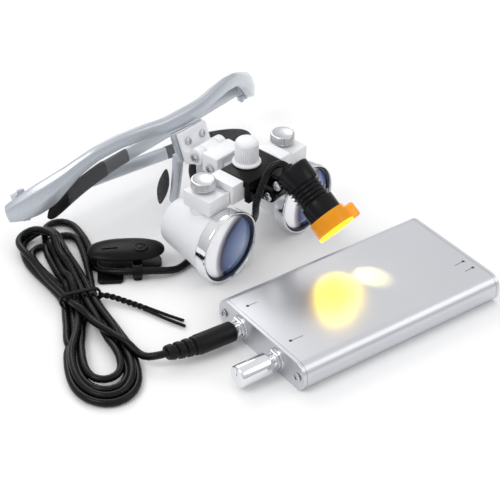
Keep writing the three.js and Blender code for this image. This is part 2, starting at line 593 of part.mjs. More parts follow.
// ---------------------------------------------------------------- battery pack
function addBattery() {
  const pack = new THREE.Group();
  pack.position.set(BATTERY_PLACE.x, BATTERY_PLACE.y, 0);
  pack.rotation.z = BATTERY_PLACE.turn;
  loupes.add(pack);
  const { length, width, height, wall, corner, plate } = BATTERY;
  const middle = height / 2;
  // Outlines are drawn in Y-Z and extruded along X.
  const section = (inset, radius) => roundedRectangle(inset, width - inset, inset, height - inset, radius);
  const alongX = (shape, x0, x1) => {
    const bar = new THREE.ExtrudeGeometry(shape, { depth: x1 - x0, bevelEnabled: false, curveSegments: 4 });
    return bar.rotateX(Math.PI / 2).rotateZ(Math.PI / 2).translate(x0, 0, 0);
  };
  const shell = alongX(section(0, corner), plate + 0.2, length - plate - 0.2);
  const cavity = alongX(section(wall, corner - wall), -1, length + 1);
  add('battery_case', cut(shell, cavity), ALUMINIUM(), pack);

  const nearPlate = alongX(section(0, corner), 0, plate);
  const farPlate = alongX(section(0, corner), length - plate, length);
  const screwYs = [4.2, width - 4.2];
  const screwHoles = screwYs.map((y) => rodX(1.1, -1, 3, y, middle, SMALL_ROUND));
  const jackHole = rodX(3.6, -1, 3, JACK_Y, middle);
  const switchHole = rodX(3.3, -1, 3, SWITCH_Y, middle);
  add('end_plate_near', cut(nearPlate, ...screwHoles, jackHole, switchHole), ALUMINIUM(), pack);
  const socketHole = rodX(3, length - 3, length + 1, SWITCH_Y, middle);
  add('end_plate_far', cut(farPlate, socketHole), ALUMINIUM(), pack);
  screwYs.forEach((y, k) => {
    add(`end_screw_${k + 1}`, crossScrew(-1.1, 6, y, middle, 0.8, 1.9, 0.8), STEEL(), pack);
  });

  // Panel parts: a threaded neck with a nut and washer outside, a square body inside.
  const panelPart = (y, neck, front, nut, half, depth, bore, boreEnd) => cut(
    join(
      rodX(neck, front, 3, y, middle),
      prismX(6, nut, -2.1, -0.7).translate(0, y, middle),
      rodX(nut - 0.1, -0.8, -0.3, y, middle),
      block(2.4, depth, y - half, y + half, middle - 4.5, middle + 4.5),
    ),
    rodX(bore, front - 1, boreEnd, y, middle),
  );
  add('power_jack', panelPart(JACK_Y, 3.3, -3.9, 5, 5, 13, 2.6, 11.5), CHROME(), pack);
  add('dimmer_switch', panelPart(SWITCH_Y, 3, -4.6, 4.6, 6, 10.4, 1.85, 8), CHROME(), pack);
  const knob = turned([[0, 5.1], [4.5, 5.1], [4.9, 5.5], [4.9, 19.6], [4.4, 20.3], [0, 20.3]]);
  const shaft = rodY(1.5, -6, 5.4, 0, 0, SMALL_ROUND);
  const pointer = block(-0.35, 0.35, 19.7, 22, 0, 5);
  const turnedKnob = cut(join(knob, shaft), pointer).rotateZ(Math.PI / 2).translate(0, SWITCH_Y, middle);
  add('dimmer_knob', turnedKnob, CHROME(), pack);

  const charge = join(
    rodX(2.7, length - 9, length + 0.6, SWITCH_Y, middle),
    block(length - 12, length - 2.2, SWITCH_Y - 4.4, SWITCH_Y + 4.4, middle - 4.2, middle + 4.2),
  );
  add('charge_socket', cut(charge, rodX(1.9, length - 8, length + 2, SWITCH_Y, middle)), BLACK(), pack);
  const cell = alongX(roundedRectangle(16.5, 57, middle - 4.4, middle + 4.4, 2.5), 16, 90);
  add('battery_cell', cell, material(0x3f6fa8, 0.5, 0), pack);
}

function prismX(sides, radius, x0, x1) {
  const prism = new THREE.CylinderGeometry(radius, radius, x1 - x0, sides).rotateZ(Math.PI / 2);
  return prism.translate((x0 + x1) / 2, 0, 0);
}

// ---------------------------------------------------------------- plug, cord and garment clip
const PLUG_PLACE = new THREE.Matrix4()
  .makeTranslation(BATTERY_PLACE.x, BATTERY_PLACE.y, BATTERY.height / 2)
  .multiply(new THREE.Matrix4().makeRotationZ(BATTERY_PLACE.turn))
  .multiply(new THREE.Matrix4().makeTranslation(0, JACK_Y, 0));
const PLUG_LENGTH = 35;
const PLUG_BEND = 3.8;

function addPlug() {
  // Drawn along +Y from the tip of the overmould, then laid along the pack's -X.
  const outline = [[0, 4.4], [4.1, 4.4], [4.5, 4.9], [4.5, 21.6], [4.3, 22]];
  for (let k = 0; k < 3; k++) {
    const y = 23.6 + 3.6 * k;
    const r = 4.2 - 0.25 * k;
    outline.push([r, y], [r - 0.9, y + 0.2], [r - 0.9, y + 1.2], [r - 0.1, y + 1.4]);
  }
  outline.push([3.3, PLUG_LENGTH], [0, PLUG_LENGTH]);
  const layAlong = (geometry) => geometry.rotateZ(Math.PI / 2).applyMatrix4(PLUG_PLACE);
  const socketBore = rodY(2.4, 0, 9, 0, 0);
  const cordBore = rodY(CORD_DIAMETER / 2 + GAP, PLUG_LENGTH - 4, PLUG_LENGTH + 2, 0, 0, SMALL_ROUND);
  const overmould = cut(turned(outline, ROUND), socketBore, cordBore);
  const p = overmould.getAttribute('position');
  for (let i = 0; i < p.count; i++) {
    const run = Math.max(0, p.getY(i) - 9) / (PLUG_LENGTH - 9);
    p.setX(i, p.getX(i) + PLUG_BEND * run * run);
  }
  add('plug_body', layAlong(overmould), RUBBER());
  add('plug_barrel', layAlong(rodY(2.1, -7.5, 8.6, 0, 0)), STEEL());
}

function addGarmentClip() {
  const clip = new THREE.Group();
  clip.position.set(CLIP_PLACE.x, CLIP_PLACE.y, 0);
  clip.rotation.z = CLIP_PLACE.turn;
  loupes.add(clip);
  const [half, pivotX, pivotZ] = [15.8, 5, 5];
  const jaw = (z) => plateShape(roundedRectangle(-half, half, -5.8, 5.8, 4.6), z, 1.7);
  const ears = SIDES.map(({ sign }) => join(
    block(pivotX - 2.2, pivotX + 2.2, sign > 0 ? 3 : -4.8, sign > 0 ? 4.8 : -3, 1.5, pivotZ),
    rodY(2.2, sign > 0 ? 3 : -4.8, sign > 0 ? 4.8 : -3, pivotX, pivotZ),
  ));
  const pin = rodY(1, -4.5, 4.5, pivotX, pivotZ, SMALL_ROUND);
  const teeth = [-15, -12.6].map((x) => block(x, x + 1.1, -4, 4, 1.8, 3.2));
  const holder = cut(
    join(block(1.4, 8.2, -15.2, -6.2, 0.2, 7.2), block(1.4, 8.2, -7, -5, 0.2, 1.8)),
    rodX(CORD_DIAMETER / 2 + GAP, 0, 10, -11, 4.3, SMALL_ROUND),
  );
  add('clip_lower', join(jaw(0.2), ...ears, pin, ...teeth, holder), BLACK(), clip);
  const lid = jaw(7.6);
  const grip = block(-15.6, -13, -4, 4, 3.8, 8);
  const post = block(pivotX - 1.8, pivotX + 1.8, -2.6, 2.6, pivotZ, 8);
  const hub = join(rodY(2.2, -2.6, 2.6, pivotX, pivotZ), post);
  const pinHole = rodY(1.3, -9, 9, pivotX, pivotZ, SMALL_ROUND);
  add('clip_upper', cut(join(lid, grip, hub), pinHole), BLACK(), clip);
}

// Cord runs, in order from the headlight to the plug.
const CORD_LOOP = [[-2.4, -12.9, 51.2], [-2.4, -10.4, 53.1], [-3.6, -7.9, 53.7], [-6, -5.9, 52.2],
  [-8.4, -5, 49], [-10, -3.6, 43.6], [-10.8, -2.2, 38], [-11.2, -0.9, 33.2]];
const CORD_FRONT = [[-11.2, -0.8, 32.5], [-10.1, 0.6, 28.4], [-7.7, 3.2, 24], [-6.2, 6, 18.6],
  [-6.3, 9.8, 12], [-8, 14.8, 6], [-12, 19.8, 2.6], [-19, 23, 2], [-30, 21.4, 2], [-39, 20.6, 2.4],
  [-45.9, 23.1, 4], [-49, 25.7, 4.3], [-55.9, 32.1, 4.3], [-59.8, 37, 3.8], [-62.2, 41.6, 3],
  [-63.8, 44.8, 2.7]];
const CORD_TAIL = [[-94, -14, 4.9], [-92, -17.8, 5.9], [-89.4, -20.2, 6.5], [-87.4, -21.2, 6.65],
  [-85.1, -22.3, 6.65]];
const HANK_TOP = 8.3;
const HANK_EDGE = [[-73.7, 84], [-68, 92], [-60, 96.2], [-52.3, 96], [-47.4, 91], [-45.8, 84], [-47.3, 72.8],
  [-54.4, 61.4], [-63.4, 50.4], [-70.5, 39.4], [-76.5, 30.8], [-83, 13.7], [-91.3, -5], [-98.3, -18],
  [-106, -25],
  [-115.6, -28.1], [-123.7, -25.1], [-127.6, -13.7], [-122.4, 1.8], [-114.5, 12], [-104, 22], [-97.3, 29.3],
  [-91.7, 38.5], [-85.4, 59.6], [-79.1, 76.7]];
const HANK_HOLE = [[-92.6, 15.4], [-94.4, 5], [-99.6, -6], [-106.4, -14.2], [-112, -14.6], [-113.4, -8],
  [-107.8, 2.4], [-99.6, 10.6]];
const TIE = { x: -84.1, y: 34.7, turn: THREE.MathUtils.degToRad(-26.9), half: 9.4 };
const TIE_TAIL = [[8.6, 0, 3.4], [12, -1.2, 3.2], [18, -7, 2.4], [24, -14.2, 1.6], [34, -26.6, 1.4],
  [39.6, -32.4, 1.4]];

function smoothOutline(points, count) {
  const corners = points.map(([x, y]) => new THREE.Vector3(x, y, 0));
  const curve = new THREE.CatmullRomCurve3(corners, true, 'centripetal');
  return curve.getPoints(count).slice(0, -1).map((q) => new THREE.Vector2(q.x, q.y));
}

function addCord() {
  add('cord_loop', tube(CORD_LOOP, CORD_DIAMETER, 10), RUBBER());
  add('cord_front', tube(CORD_FRONT, CORD_DIAMETER, 30), RUBBER());
  add('cord_tail', tube(CORD_TAIL, CORD_DIAMETER, 5), RUBBER());

  const hank = plateShape(new THREE.Shape(smoothOutline(HANK_EDGE, 56)), 0.3, HANK_TOP - 0.3);
  const hole = plateShape(new THREE.Shape(smoothOutline(HANK_HOLE, 24)), -1, HANK_TOP + 2);
  const atTie = (geometry) => geometry.rotateZ(TIE.turn).translate(TIE.x, TIE.y, 0);
  const { half } = TIE;
  const frame = (width, x0, x1, low, high, inner) => cut(
    block(-x1, x1, -width, width, low, high),
    block(-x0, x0, -width - 1, width + 1, inner, HANK_TOP - inner + 0.3),
  );
  const groove = atTie(frame(1.5, half - 1.7, 20, -1, 12, 1.5));
  add('cord_hank', cut(hank, hole, groove), RUBBER());
  const strap = frame(1.1, half - 1.2, half, 0.1, HANK_TOP + 0.2, 1.1);
  add('twist_tie', atTie(join(strap, tube(TIE_TAIL, 2.2, 12, 8))), RUBBER());
}

addBeam();
addLampMount();
addClampKnob();
SIDES.forEach(addCarrier);
SIDES.forEach(addBarrel);
addLink();
addBrowBar();
addLenses();
addNoseBridge();
addBracketPlate();
SIDES.forEach(addTemple);
addLamp();
addBattery();
addPlug();
addGarmentClip();
addCord();

export default loupes;
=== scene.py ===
import json
import math
import bmesh
import bpy
import numpy as np
from mathutils import Matrix, Vector

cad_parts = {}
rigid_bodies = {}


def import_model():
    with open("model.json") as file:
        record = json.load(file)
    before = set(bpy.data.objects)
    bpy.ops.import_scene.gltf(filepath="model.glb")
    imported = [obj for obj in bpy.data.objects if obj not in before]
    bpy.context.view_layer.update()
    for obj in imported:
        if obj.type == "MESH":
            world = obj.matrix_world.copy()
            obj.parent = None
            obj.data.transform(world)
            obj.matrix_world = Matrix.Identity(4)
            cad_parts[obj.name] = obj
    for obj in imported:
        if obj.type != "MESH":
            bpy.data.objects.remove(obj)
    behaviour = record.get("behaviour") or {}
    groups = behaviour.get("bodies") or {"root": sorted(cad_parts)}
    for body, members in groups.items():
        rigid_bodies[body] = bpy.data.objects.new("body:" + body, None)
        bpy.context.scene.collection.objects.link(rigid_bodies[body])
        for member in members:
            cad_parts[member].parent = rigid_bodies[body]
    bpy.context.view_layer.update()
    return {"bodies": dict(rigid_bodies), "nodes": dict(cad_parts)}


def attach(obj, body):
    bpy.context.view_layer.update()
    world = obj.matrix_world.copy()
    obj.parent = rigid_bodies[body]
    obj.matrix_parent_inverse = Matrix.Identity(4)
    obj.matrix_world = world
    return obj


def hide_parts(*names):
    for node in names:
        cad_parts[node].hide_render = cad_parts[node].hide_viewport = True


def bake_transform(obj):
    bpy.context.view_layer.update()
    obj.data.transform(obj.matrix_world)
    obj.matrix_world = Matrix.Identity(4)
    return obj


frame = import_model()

# ---- shared measures, in millimetres
MM = 0.001
SHIFT = 3.78  # the whole object's move along Y, as in the CAD source
PUPIL = 25.9  # barrel axis from the middle
AXIS_Z = 17.0  # barrel axis above the table
SCREW_Y = 16.4
KNOB_Y = 14.6
CORD_D = 3.3
FRONT_HINGE = (28.4, 37.3)  # each pivot's place along Y and its height
ARM_PIVOT = (-3.8, 36.0)
LAMP_PIVOT = (-9.9, 44.9)
REAR_HINGE = (-10.9, -15.8)  # the same, in the frame's own axes
TEMPLE = {"x": 70.5, "b": 38.5, "v": -13.5, "length": 139.0, "right": -91.0, "left": 95.0, "lean": 3.6,
          "joiner": 84.5, "sleeve": 99.8}
PACK = {"length": 106.0, "width": 60.0, "height": 13.3, "wall": 1.3, "corner": 5.6, "plate": 1.6}
JACK_Y = 44.0  # in the pack's own axes
SWITCH_Y = 18.4
SIDES = (("right", -1), ("left", 1))


def turn(axis, degrees):
    return np.array(Matrix.Rotation(math.radians(degrees), 4, axis))


def move(x, y, z):
    return np.array(Matrix.Translation((x, y, z)))


IN_FRAME = move(0, 54, 50) @ turn("X", -22)
IN_LAMP = move(0, -11.3, 51.2) @ turn("X", 36.4)
IN_PACK = move(-63.1, -75, 0) @ turn("Z", -11.8)
IN_CLIP = move(-49.8, 41.7, 0) @ turn("Z", -43)
IN_TIE = move(-84.1, 34.7, 0) @ turn("Z", -26.9)
IN_PLUG = IN_PACK @ move(0, JACK_Y, PACK["height"] / 2) @ turn("Z", 90)
NO_MOVE = np.eye(4)


def carried(matrix, points):
    points = np.atleast_2d(np.array(points, float))
    return points @ matrix[:3, :3].T + matrix[:3, 3]


def metres(points):
    points = np.atleast_2d(np.array(points, float))
    return (points + np.array([0, SHIFT, 0])) * MM


def shown(name, data):
    made = bpy.data.objects.new(name, data)
    bpy.context.collection.objects.link(made)
    return made


# ---- camera
CAMERA_PLACE = (-0.45095, -0.39354, 0.43614)
CAMERA_RIGHT = Vector((0.67499292, -0.73780739, 0.00498142))
CAMERA_LOOK = Vector((0.60013976, 0.54509337, -0.58541053))
SENSOR_WIDTH = 36  # millimetres
FOCAL_LENGTH = 118.12
CLIP_RANGE = (0.01, 20)  # metres


def add_camera():
    data = bpy.data.cameras.new("Camera")
    data.sensor_width = SENSOR_WIDTH
    data.lens = FOCAL_LENGTH
    data.clip_start, data.clip_end = CLIP_RANGE
    camera = shown("Camera", data)
    axes = Matrix((CAMERA_RIGHT, CAMERA_RIGHT.cross(CAMERA_LOOK), -CAMERA_LOOK)).transposed()
    camera.matrix_world = Matrix.Translation(CAMERA_PLACE) @ axes.to_4x4()
    bpy.context.scene.camera = camera


add_camera()


# ---- materials
MIX_LOW, MIX_HIGH, MIX_RESULT = 6, 7, 2  # a Mix node's colour sockets
BUMP_DISTANCE = 0.0002  # metres
CLOUD_DETAIL, GRAIN_DETAIL = 4, 3


def wired(tree, kind, **inputs):
    """A new node, with each input set to a value or joined to another node's output."""
    made = tree.nodes.new("ShaderNode" + kind)
    for key, value in inputs.items():
        socket = made.inputs[key.replace("_", " ")]
        if isinstance(value, bpy.types.NodeSocket):
            tree.links.new(value, socket)
        else:
            socket.default_value = value
    return made


def noise(tree, where, scale, detail, stretch=None):
    """A noise value. stretch is (scale, turn about Z) and draws the grain out."""
    if stretch:
        where = wired(tree, "Mapping", Rotation=(0, 0, stretch[1]), Scale=stretch[0], Vector=where).outputs[0]
    return wired(tree, "TexNoise", Scale=scale, Detail=detail, Vector=where).outputs["Fac"]


def surface(name, color, roughness, metallic=0.0, tone=0.06, cloud=60.0, grain=900.0, bump=0.03,
            spread=0.08, stretch=None, **sockets):
    """A Principled material whose colour and roughness drift slowly, with a fine grain in its bump."""
    material = bpy.data.materials.new(name)
    material.use_nodes = True
    tree = material.node_tree
    shader = tree.nodes["Principled BSDF"]
    where = wired(tree, "TexCoord").outputs["Object"]
    mix = wired(tree, "Mix")
    mix.data_type = "RGBA"
    mix.inputs[MIX_LOW].default_value = (*[c * (1 - tone) for c in color], 1)
    mix.inputs[MIX_HIGH].default_value = (*[min(1.0, c * (1 + tone)) for c in color], 1)
    tree.links.new(noise(tree, where, cloud, CLOUD_DETAIL), mix.inputs[0])
    tree.links.new(mix.outputs[MIX_RESULT], shader.inputs["Base Color"])
    fine = noise(tree, where, grain, GRAIN_DETAIL, stretch)
    ranged = wired(tree, "MapRange", Value=fine, To_Min=max(0.0, roughness - spread),
                   To_Max=roughness + spread)
    tree.links.new(ranged.outputs["Result"], shader.inputs["Roughness"])
    if bump:
        raised = wired(tree, "Bump", Strength=bump, Distance=BUMP_DISTANCE, Height=fine)
        tree.links.new(raised.outputs["Normal"], shader.inputs["Normal"])
    for key, value in {"Metallic": metallic, **sockets}.items():
        shader.inputs[key.replace("_", " ")].default_value = value
    return material


MATERIALS = {made.name.lower(): made for made in (
    surface("White_Plastic", (0.82, 0.825, 0.85), 0.36, tone=0.02, grain=1500, bump=0.08, Coat_Weight=0.12,
            Coat_Roughness=0.25),
    surface("Black_Plastic", (0.003, 0.003, 0.0035), 0.34, tone=0.25, grain=1800, bump=0.1,
            Specular_IOR_Level=0.14),
    surface("Black_Aluminium", (0.003, 0.003, 0.004), 0.22, tone=0.2, grain=1600, bump=0.04,
            Specular_IOR_Level=0.2),
    surface("Steel", (0.6, 0.61, 0.62), 0.3, metallic=1, tone=0.03, grain=900, bump=0.008),
    surface("Chrome", (0.8, 0.81, 0.83), 0.09, metallic=1, tone=0.03, grain=700, bump=0.01, spread=0.03),
    surface("Silver_Paint", (0.5, 0.53, 0.575), 0.3, metallic=0.55, tone=0.05, grain=2600, bump=0.05,
            Coat_Weight=0.5, Coat_Roughness=0.14),
    surface("Grey_Joiner", (0.055, 0.057, 0.065), 0.42, metallic=0.1, tone=0.08, grain=2000, bump=0.12),
    surface("Black_Rubber", (0.004, 0.004, 0.0045), 0.42, tone=0.2, grain=1300, bump=0.12,
            Specular_IOR_Level=0.16),
    surface("Clear_Lens", (0.96, 0.97, 1.0), 0.03, tone=0.004, grain=200, bump=0.0, spread=0.01, Alpha=0.03,
            IOR=1.5),
    surface("Coated_Glass", (0.012, 0.03, 0.13), 0.03, tone=0.25, cloud=35, grain=300, bump=0.0,
            spread=0.02, Alpha=0.42, IOR=1.6),
    surface("Amber_Filter", (1.0, 0.36, 0.0), 0.12, tone=0.15, cloud=160, grain=500, bump=0.02, Alpha=0.55,
            Emission_Color=(1.0, 0.45, 0.0, 1), Emission_Strength=0.12),
    surface("Led_White", (0.95, 0.93, 0.8), 0.4, tone=0.03, Emission_Color=(1.0, 0.93, 0.35, 1),
            Emission_Strength=6.0),
    surface("Brushed_Aluminium", (0.62, 0.63, 0.66), 0.3, metallic=0.75, tone=0.03, cloud=30, grain=1500,
            bump=0.05, spread=0.05, stretch=((0.12, 1, 1), math.radians(11.8))),
    surface("Cell_Wrap", (0.05, 0.14, 0.35), 0.4, tone=0.1),
)}
PRINT = surface("Grey_Print", (0.035, 0.036, 0.04), 0.5, tone=0.15)
CORD_SKIN = surface("Cord_Skin", (0.003, 0.003, 0.0035), 0.28, tone=0.2, cloud=25, grain=700, bump=0.06,
                    Specular_IOR_Level=0.2)
MOULD = surface("Plug_Mould", (0.004, 0.004, 0.0045), 0.36, tone=0.15, grain=1500, bump=0.1,
                Specular_IOR_Level=0.2)
RETAINER = surface("Retainer_Black", (0.008, 0.008, 0.01), 0.3, tone=0.2)
AMBER_TAB = surface("Amber_Tab", (1.0, 0.33, 0.0), 0.12, tone=0.2, cloud=160, grain=500, bump=0.02, Alpha=0.9,
                    Emission_Color=(1.0, 0.45, 0.0, 1), Emission_Strength=0.12)
LIT_EDGE = surface("Lit_Edge", (1.0, 0.75, 0.02), 0.2, tone=0.05, Emission_Color=(1.0, 0.8, 0.0, 1),
                   Emission_Strength=1.1)
# Colours of the objective lenses' painted reflection, from its centre outwards: pale blue, deep blue, near
# black, then grey and white at the far edge.
PAINTED_REFLECTION_STOPS = ((0.0, (0.3, 0.35, 0.48)), (0.35, (0.13, 0.19, 0.36)), (0.6, (0.05, 0.08, 0.2)),
                 (0.7, (0.012, 0.014, 0.05)), (0.79, (0.35, 0.33, 0.38)), (0.86, (0.95, 0.96, 1.0)))
PAINTED_REFLECTION_REACH = 22.5  # how far from its centre the painted reflection's last colour lies, in millimetres
# The painted reflection also glows in these colours, at this strength.
PAINTED_REFLECTION_GLOW = 0.22


def painted_reflection_lens(name, centre):
    """A front lens: blue, with a painted reflection that turns white at the edge farthest from the centre
    given, and glows in the same colours.
    """
    material = surface(name, (0.1, 0.15, 0.3), 0.05, bump=0.0, Coat_Weight=0.4, Coat_Roughness=0.03)
    tree = material.node_tree
    shader = tree.nodes["Principled BSDF"]
    away = wired(tree, "VectorMath")
    away.operation = "DISTANCE"
    tree.links.new(wired(tree, "TexCoord").outputs["Object"], away.inputs[0])
    away.inputs[1].default_value = metres(centre)[0]
    scale = wired(tree, "MapRange", Value=away.outputs["Value"], From_Max=PAINTED_REFLECTION_REACH * MM)
    ramp = wired(tree, "ValToRGB", Fac=scale.outputs["Result"])
    while len(ramp.color_ramp.elements) < len(PAINTED_REFLECTION_STOPS):
        ramp.color_ramp.elements.new(0.5)
    for element, (place, color) in zip(ramp.color_ramp.elements, PAINTED_REFLECTION_STOPS):
        element.position = place
        element.color = (*color, 1)
    for key in ("Base Color", "Emission Color"):
        tree.links.new(ramp.outputs["Color"], shader.inputs[key])
    shader.inputs["Emission Strength"].default_value = PAINTED_REFLECTION_GLOW
    return material


# ---- making and placing pieces
SHARP_ANGLE = 32  # degrees from which an edge is shaded sharp
MERGE_DISTANCE = 1e-7  # metres


def body_holding(node):
    return next(name for name, empty in frame["bodies"].items() if frame["nodes"][node].parent == empty)


def smooth(mesh, degrees=SHARP_ANGLE):
    mesh.shade_smooth()
    mesh.set_sharp_from_angle(angle=math.radians(degrees))


def piece(name, points, faces, slot=None, nodes=None, body=None, matrix=NO_MOVE, sharp=SHARP_ANGLE,
          material=None):
    """A mesh from points in millimetres, riding on the body of the CAD nodes that it stands for.

    Without nodes or body, it stands for the node of its own name in small letters.
    """
    if nodes is None:
        nodes = () if body else (name.lower(),)
    mesh = bpy.data.meshes.new(name)
    mesh.from_pydata(metres(carried(matrix, points)).tolist(), [], [list(f) for f in faces])
    shape = bmesh.new()
    shape.from_mesh(mesh)
    bmesh.ops.remove_doubles(shape, verts=shape.verts, dist=MERGE_DISTANCE)
    bmesh.ops.recalc_face_normals(shape, faces=shape.faces)
    shape.to_mesh(mesh)
    shape.free()
    smooth(mesh, sharp)
    return settle(shown(name, mesh), slot, nodes, body, material)


def coated(made, slot, material):
    made.data.materials.clear()
    made.data.materials.append(material or MATERIALS[slot])


def settle(made, slot, nodes, body, material=None):
    coated(made, slot, material)
    if body or nodes:
        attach(made, body or body_holding(nodes[0]))
    if nodes:
        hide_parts(*nodes)
    return made


def several(*shapes):
    """Points and faces of several shapes as one."""
    points, faces = [], []
    for some_points, some_faces in shapes:
        start = sum(len(p) for p in points)
        points.append(np.array(some_points, float))
        faces += [[i + start for i in f] for f in some_faces]
    return np.vstack(points), faces


NEARLY_STRAIGHT = -0.97  # cosine of the angle at a corner that isn't worth rounding
ON_AXIS = 1e-6
AXIS_ORDER = {"X": (1, 2, 0), "Y": (0, 1, 2), "Z": (2, 0, 1)}
FLAT_ANGLE = math.radians(1.2)
BEVEL_ANGLE = math.radians(35)


def softened(profile, radius, steps, closed=False):
    """Rounds the corners of a 2-D profile, apart from shallow ones and the ends of an open one."""
    pts = [np.array(p, float) for p in profile]
    out = []
    n = len(pts)
    for i, p in enumerate(pts):
        if not closed and i in (0, n - 1):
            out.append(p)
            continue
        before, after = pts[i - 1] - p, pts[(i + 1) % n] - p
        lb, la = np.linalg.norm(before), np.linalg.norm(after)
        bend = before @ after / (lb * la)
        if bend < NEARLY_STRAIGHT:
            out.append(p)
            continue
        reach = min(radius, 0.45 * lb, 0.45 * la)
        a, b = p + before / lb * reach, p + after / la * reach
        for t in np.linspace(0, 1, steps + 1):
            out.append((1 - t) ** 2 * a + 2 * t * (1 - t) * p + t * t * b)
    return out


def around(count):
    return np.linspace(0, 2 * math.pi, count, endpoint=False)


def lathe(profile, sides, axis="Y", flutes=None):
    """A closed solid turned about the axis. flutes is (count, depth, least radius, low, high)."""
    rings, points, faces = [], [], []
    angles = around(sides)
    for radius, height in profile:
        if radius < ON_AXIS:
            rings.append([len(points)])
            ring = np.array([[0.0, height, 0.0]])
        else:
            rings.append(list(range(len(points), len(points) + sides)))
            r = np.full(sides, radius)
            if flutes and radius >= flutes[2] and flutes[3] <= height <= flutes[4]:
                r = radius - flutes[1] * 0.5 * (1 + np.cos(flutes[0] * angles))
            ring = np.stack([r * np.sin(angles), np.full(sides, height), r * np.cos(angles)], 1)
        points.extend(ring[:, AXIS_ORDER[axis]].tolist())
    for a, b in zip(rings[:-1], rings[1:]):
        for k in range(sides):
            j = (k + 1) % sides
            if len(a) > 1 and len(b) > 1:
                faces.append([a[k], a[j], b[j], b[k]])
            elif len(b) > 1:
                faces.append([a[0], b[j], b[k]])
            elif len(a) > 1:
                faces.append([a[k], a[j], b[0]])
    if not np.allclose(profile[0], profile[-1]):
        faces += [ring for ring in (rings[0], rings[-1]) if len(ring) > 1]
    return np.array(points), faces


def turned(profile, ease, steps, sides, axis="Y", closed=False):
    """A profile turned after its corners are rounded. A closed one makes a ring."""
    profile = softened(profile, ease, steps, closed)
    return lathe([*profile, profile[0]] if closed else profile, sides, axis)


def rod(radius, low, high, sides, axis="Y", ease=0):
    profile = [(0, low), (radius, low), (radius, high), (0, high)]
    return turned(profile, ease, 3, sides, axis) if ease else lathe(profile, sides, axis)


def loft(rings, capped=True):
    count = len(rings[0])
    points = np.vstack(rings)
    faces = []
    for r in range(len(rings) - 1):
        for k in range(count):
            a, b = r * count + k, r * count + (k + 1) % count
            faces.append([a, b, b + count, a + count])
    if capped:
        faces.append(list(range(count)))
        faces.append(list(range((len(rings) - 1) * count, len(rings) * count)))
    return points, faces


def box(x0, x1, y0, y1, z0, z1):
    points = [(x, y, z) for x in (x0, x1) for y in (y0, y1) for z in (z0, z1)]
    faces = [[0, 1, 3, 2], [4, 6, 7, 5], [0, 4, 5, 1], [2, 3, 7, 6], [0, 2, 6, 4], [1, 5, 7, 3]]
    return np.array(points, float), faces


def shifted(shape, x=0, y=0, z=0):
    return np.array(shape[0]) + np.array([x, y, z]), shape[1]


def rounded(x0, x1, y0, y1, radius, steps=8):
    corners = [(x1 - radius, y0 + radius, -90), (x1 - radius, y1 - radius, 0), (x0 + radius, y1 - radius, 90),
               (x0 + radius, y0 + radius, 180)]
    out = []
    for cx, cy, start in corners:
        for k in range(steps + 1):
            a = math.radians(start + 90 * k / steps)
            out.append((cx + radius * math.cos(a), cy + radius * math.sin(a)))
    return np.array(out)


def superellipse(wide, deep, count, power):
    angles = around(count)
    c, s = np.cos(angles), np.sin(angles)
    return np.sign(c) * np.abs(c) ** (2 / power) * wide, np.sign(s) * np.abs(s) ** (2 / power) * deep


def oval_ring(centre, wide, deep, count, power):
    x, y = superellipse(wide, deep, count, power)
    return np.stack([centre[0] + x, centre[1] + y, np.full(count, centre[2])], 1)


def slab(x0, x1, y0, y1, corner, z0, z1):
    """A plate with round corners and soft upper and lower edges."""
    rings, edge = [], 0.4
    for inset, z in ((edge, z0), (0, z0 + edge), (0, z1 - edge), (edge, z1)):
        outline = rounded(x0 + inset, x1 - inset, y0 + inset, y1 - inset, corner - inset)
        rings.append(np.array([(x, y, z) for x, y in outline]))
    return loft(rings)


def between(a, b, t, low, high):
    return (high - t) / (high - low) * a + (t - low) / (high - low) * b


def spline(points, per):
    """Centripetal Catmull-Rom through the points, with per steps between two of them."""
    pts = np.array(points, float)
    pts = np.vstack([2 * pts[0] - pts[1], pts, 2 * pts[-1] - pts[-2]])
    out = []
    for i in range(1, len(pts) - 2):
        p0, p1, p2, p3 = pts[i - 1:i + 3]
        t0 = 0.0
        t1 = t0 + max(1e-6, np.linalg.norm(p1 - p0) ** 0.5)
        t2 = t1 + max(1e-6, np.linalg.norm(p2 - p1) ** 0.5)
        t3 = t2 + max(1e-6, np.linalg.norm(p3 - p2) ** 0.5)
        for t in np.linspace(t1, t2, per, endpoint=False):
            a1, a2, a3 = between(p0, p1, t, t0, t1), between(p1, p2, t, t1, t2), between(p2, p3, t, t2, t3)
            out.append(between(between(a1, a2, t, t0, t2), between(a2, a3, t, t1, t3), t, t1, t2))
    out.append(pts[-2])
    return np.array(out)


def steps_of(points):
    """The distances from each point to the next."""
    return np.linalg.norm(np.diff(points, axis=0), axis=1)


def resampled(points, spacing):
    run = np.concatenate([[0], np.cumsum(steps_of(points))])
    targets = np.linspace(0, run[-1], round(run[-1] / spacing) + 1)
    return np.stack([np.interp(targets, run, points[:, k]) for k in range(3)], 1)


def tangents_of(points):
    tangents = np.gradient(points, axis=0)
    return tangents / np.linalg.norm(tangents, axis=1)[:, None]


def nearest(points, place):
    return int(np.argmin(np.linalg.norm(points - np.array(place), axis=1)))


def pipe(points, radius, sides):
    """A round tube along the points, closed at its ends."""
    tangents = tangents_of(points)
    normal = np.cross(tangents[0], [0, 0, 1.0])
    if np.linalg.norm(normal) < 0.1:
        normal = np.cross(tangents[0], [1.0, 0, 0])
    angles = around(sides)
    rings = []
    for point, tangent in zip(points, tangents):
        normal = normal - tangent * (normal @ tangent)
        normal /= np.linalg.norm(normal)
        across = np.cross(tangent, normal)
        rings.append(point + radius * (np.cos(angles)[:, None] * normal + np.sin(angles)[:, None] * across))
    return loft(rings)


def applied(made):
    """Replaces an object's mesh with its evaluated one and drops the modifiers."""
    bpy.context.view_layer.update()
    result = bpy.data.meshes.new_from_object(made.evaluated_get(bpy.context.evaluated_depsgraph_get()))
    made.modifiers.clear()
    made.data = result


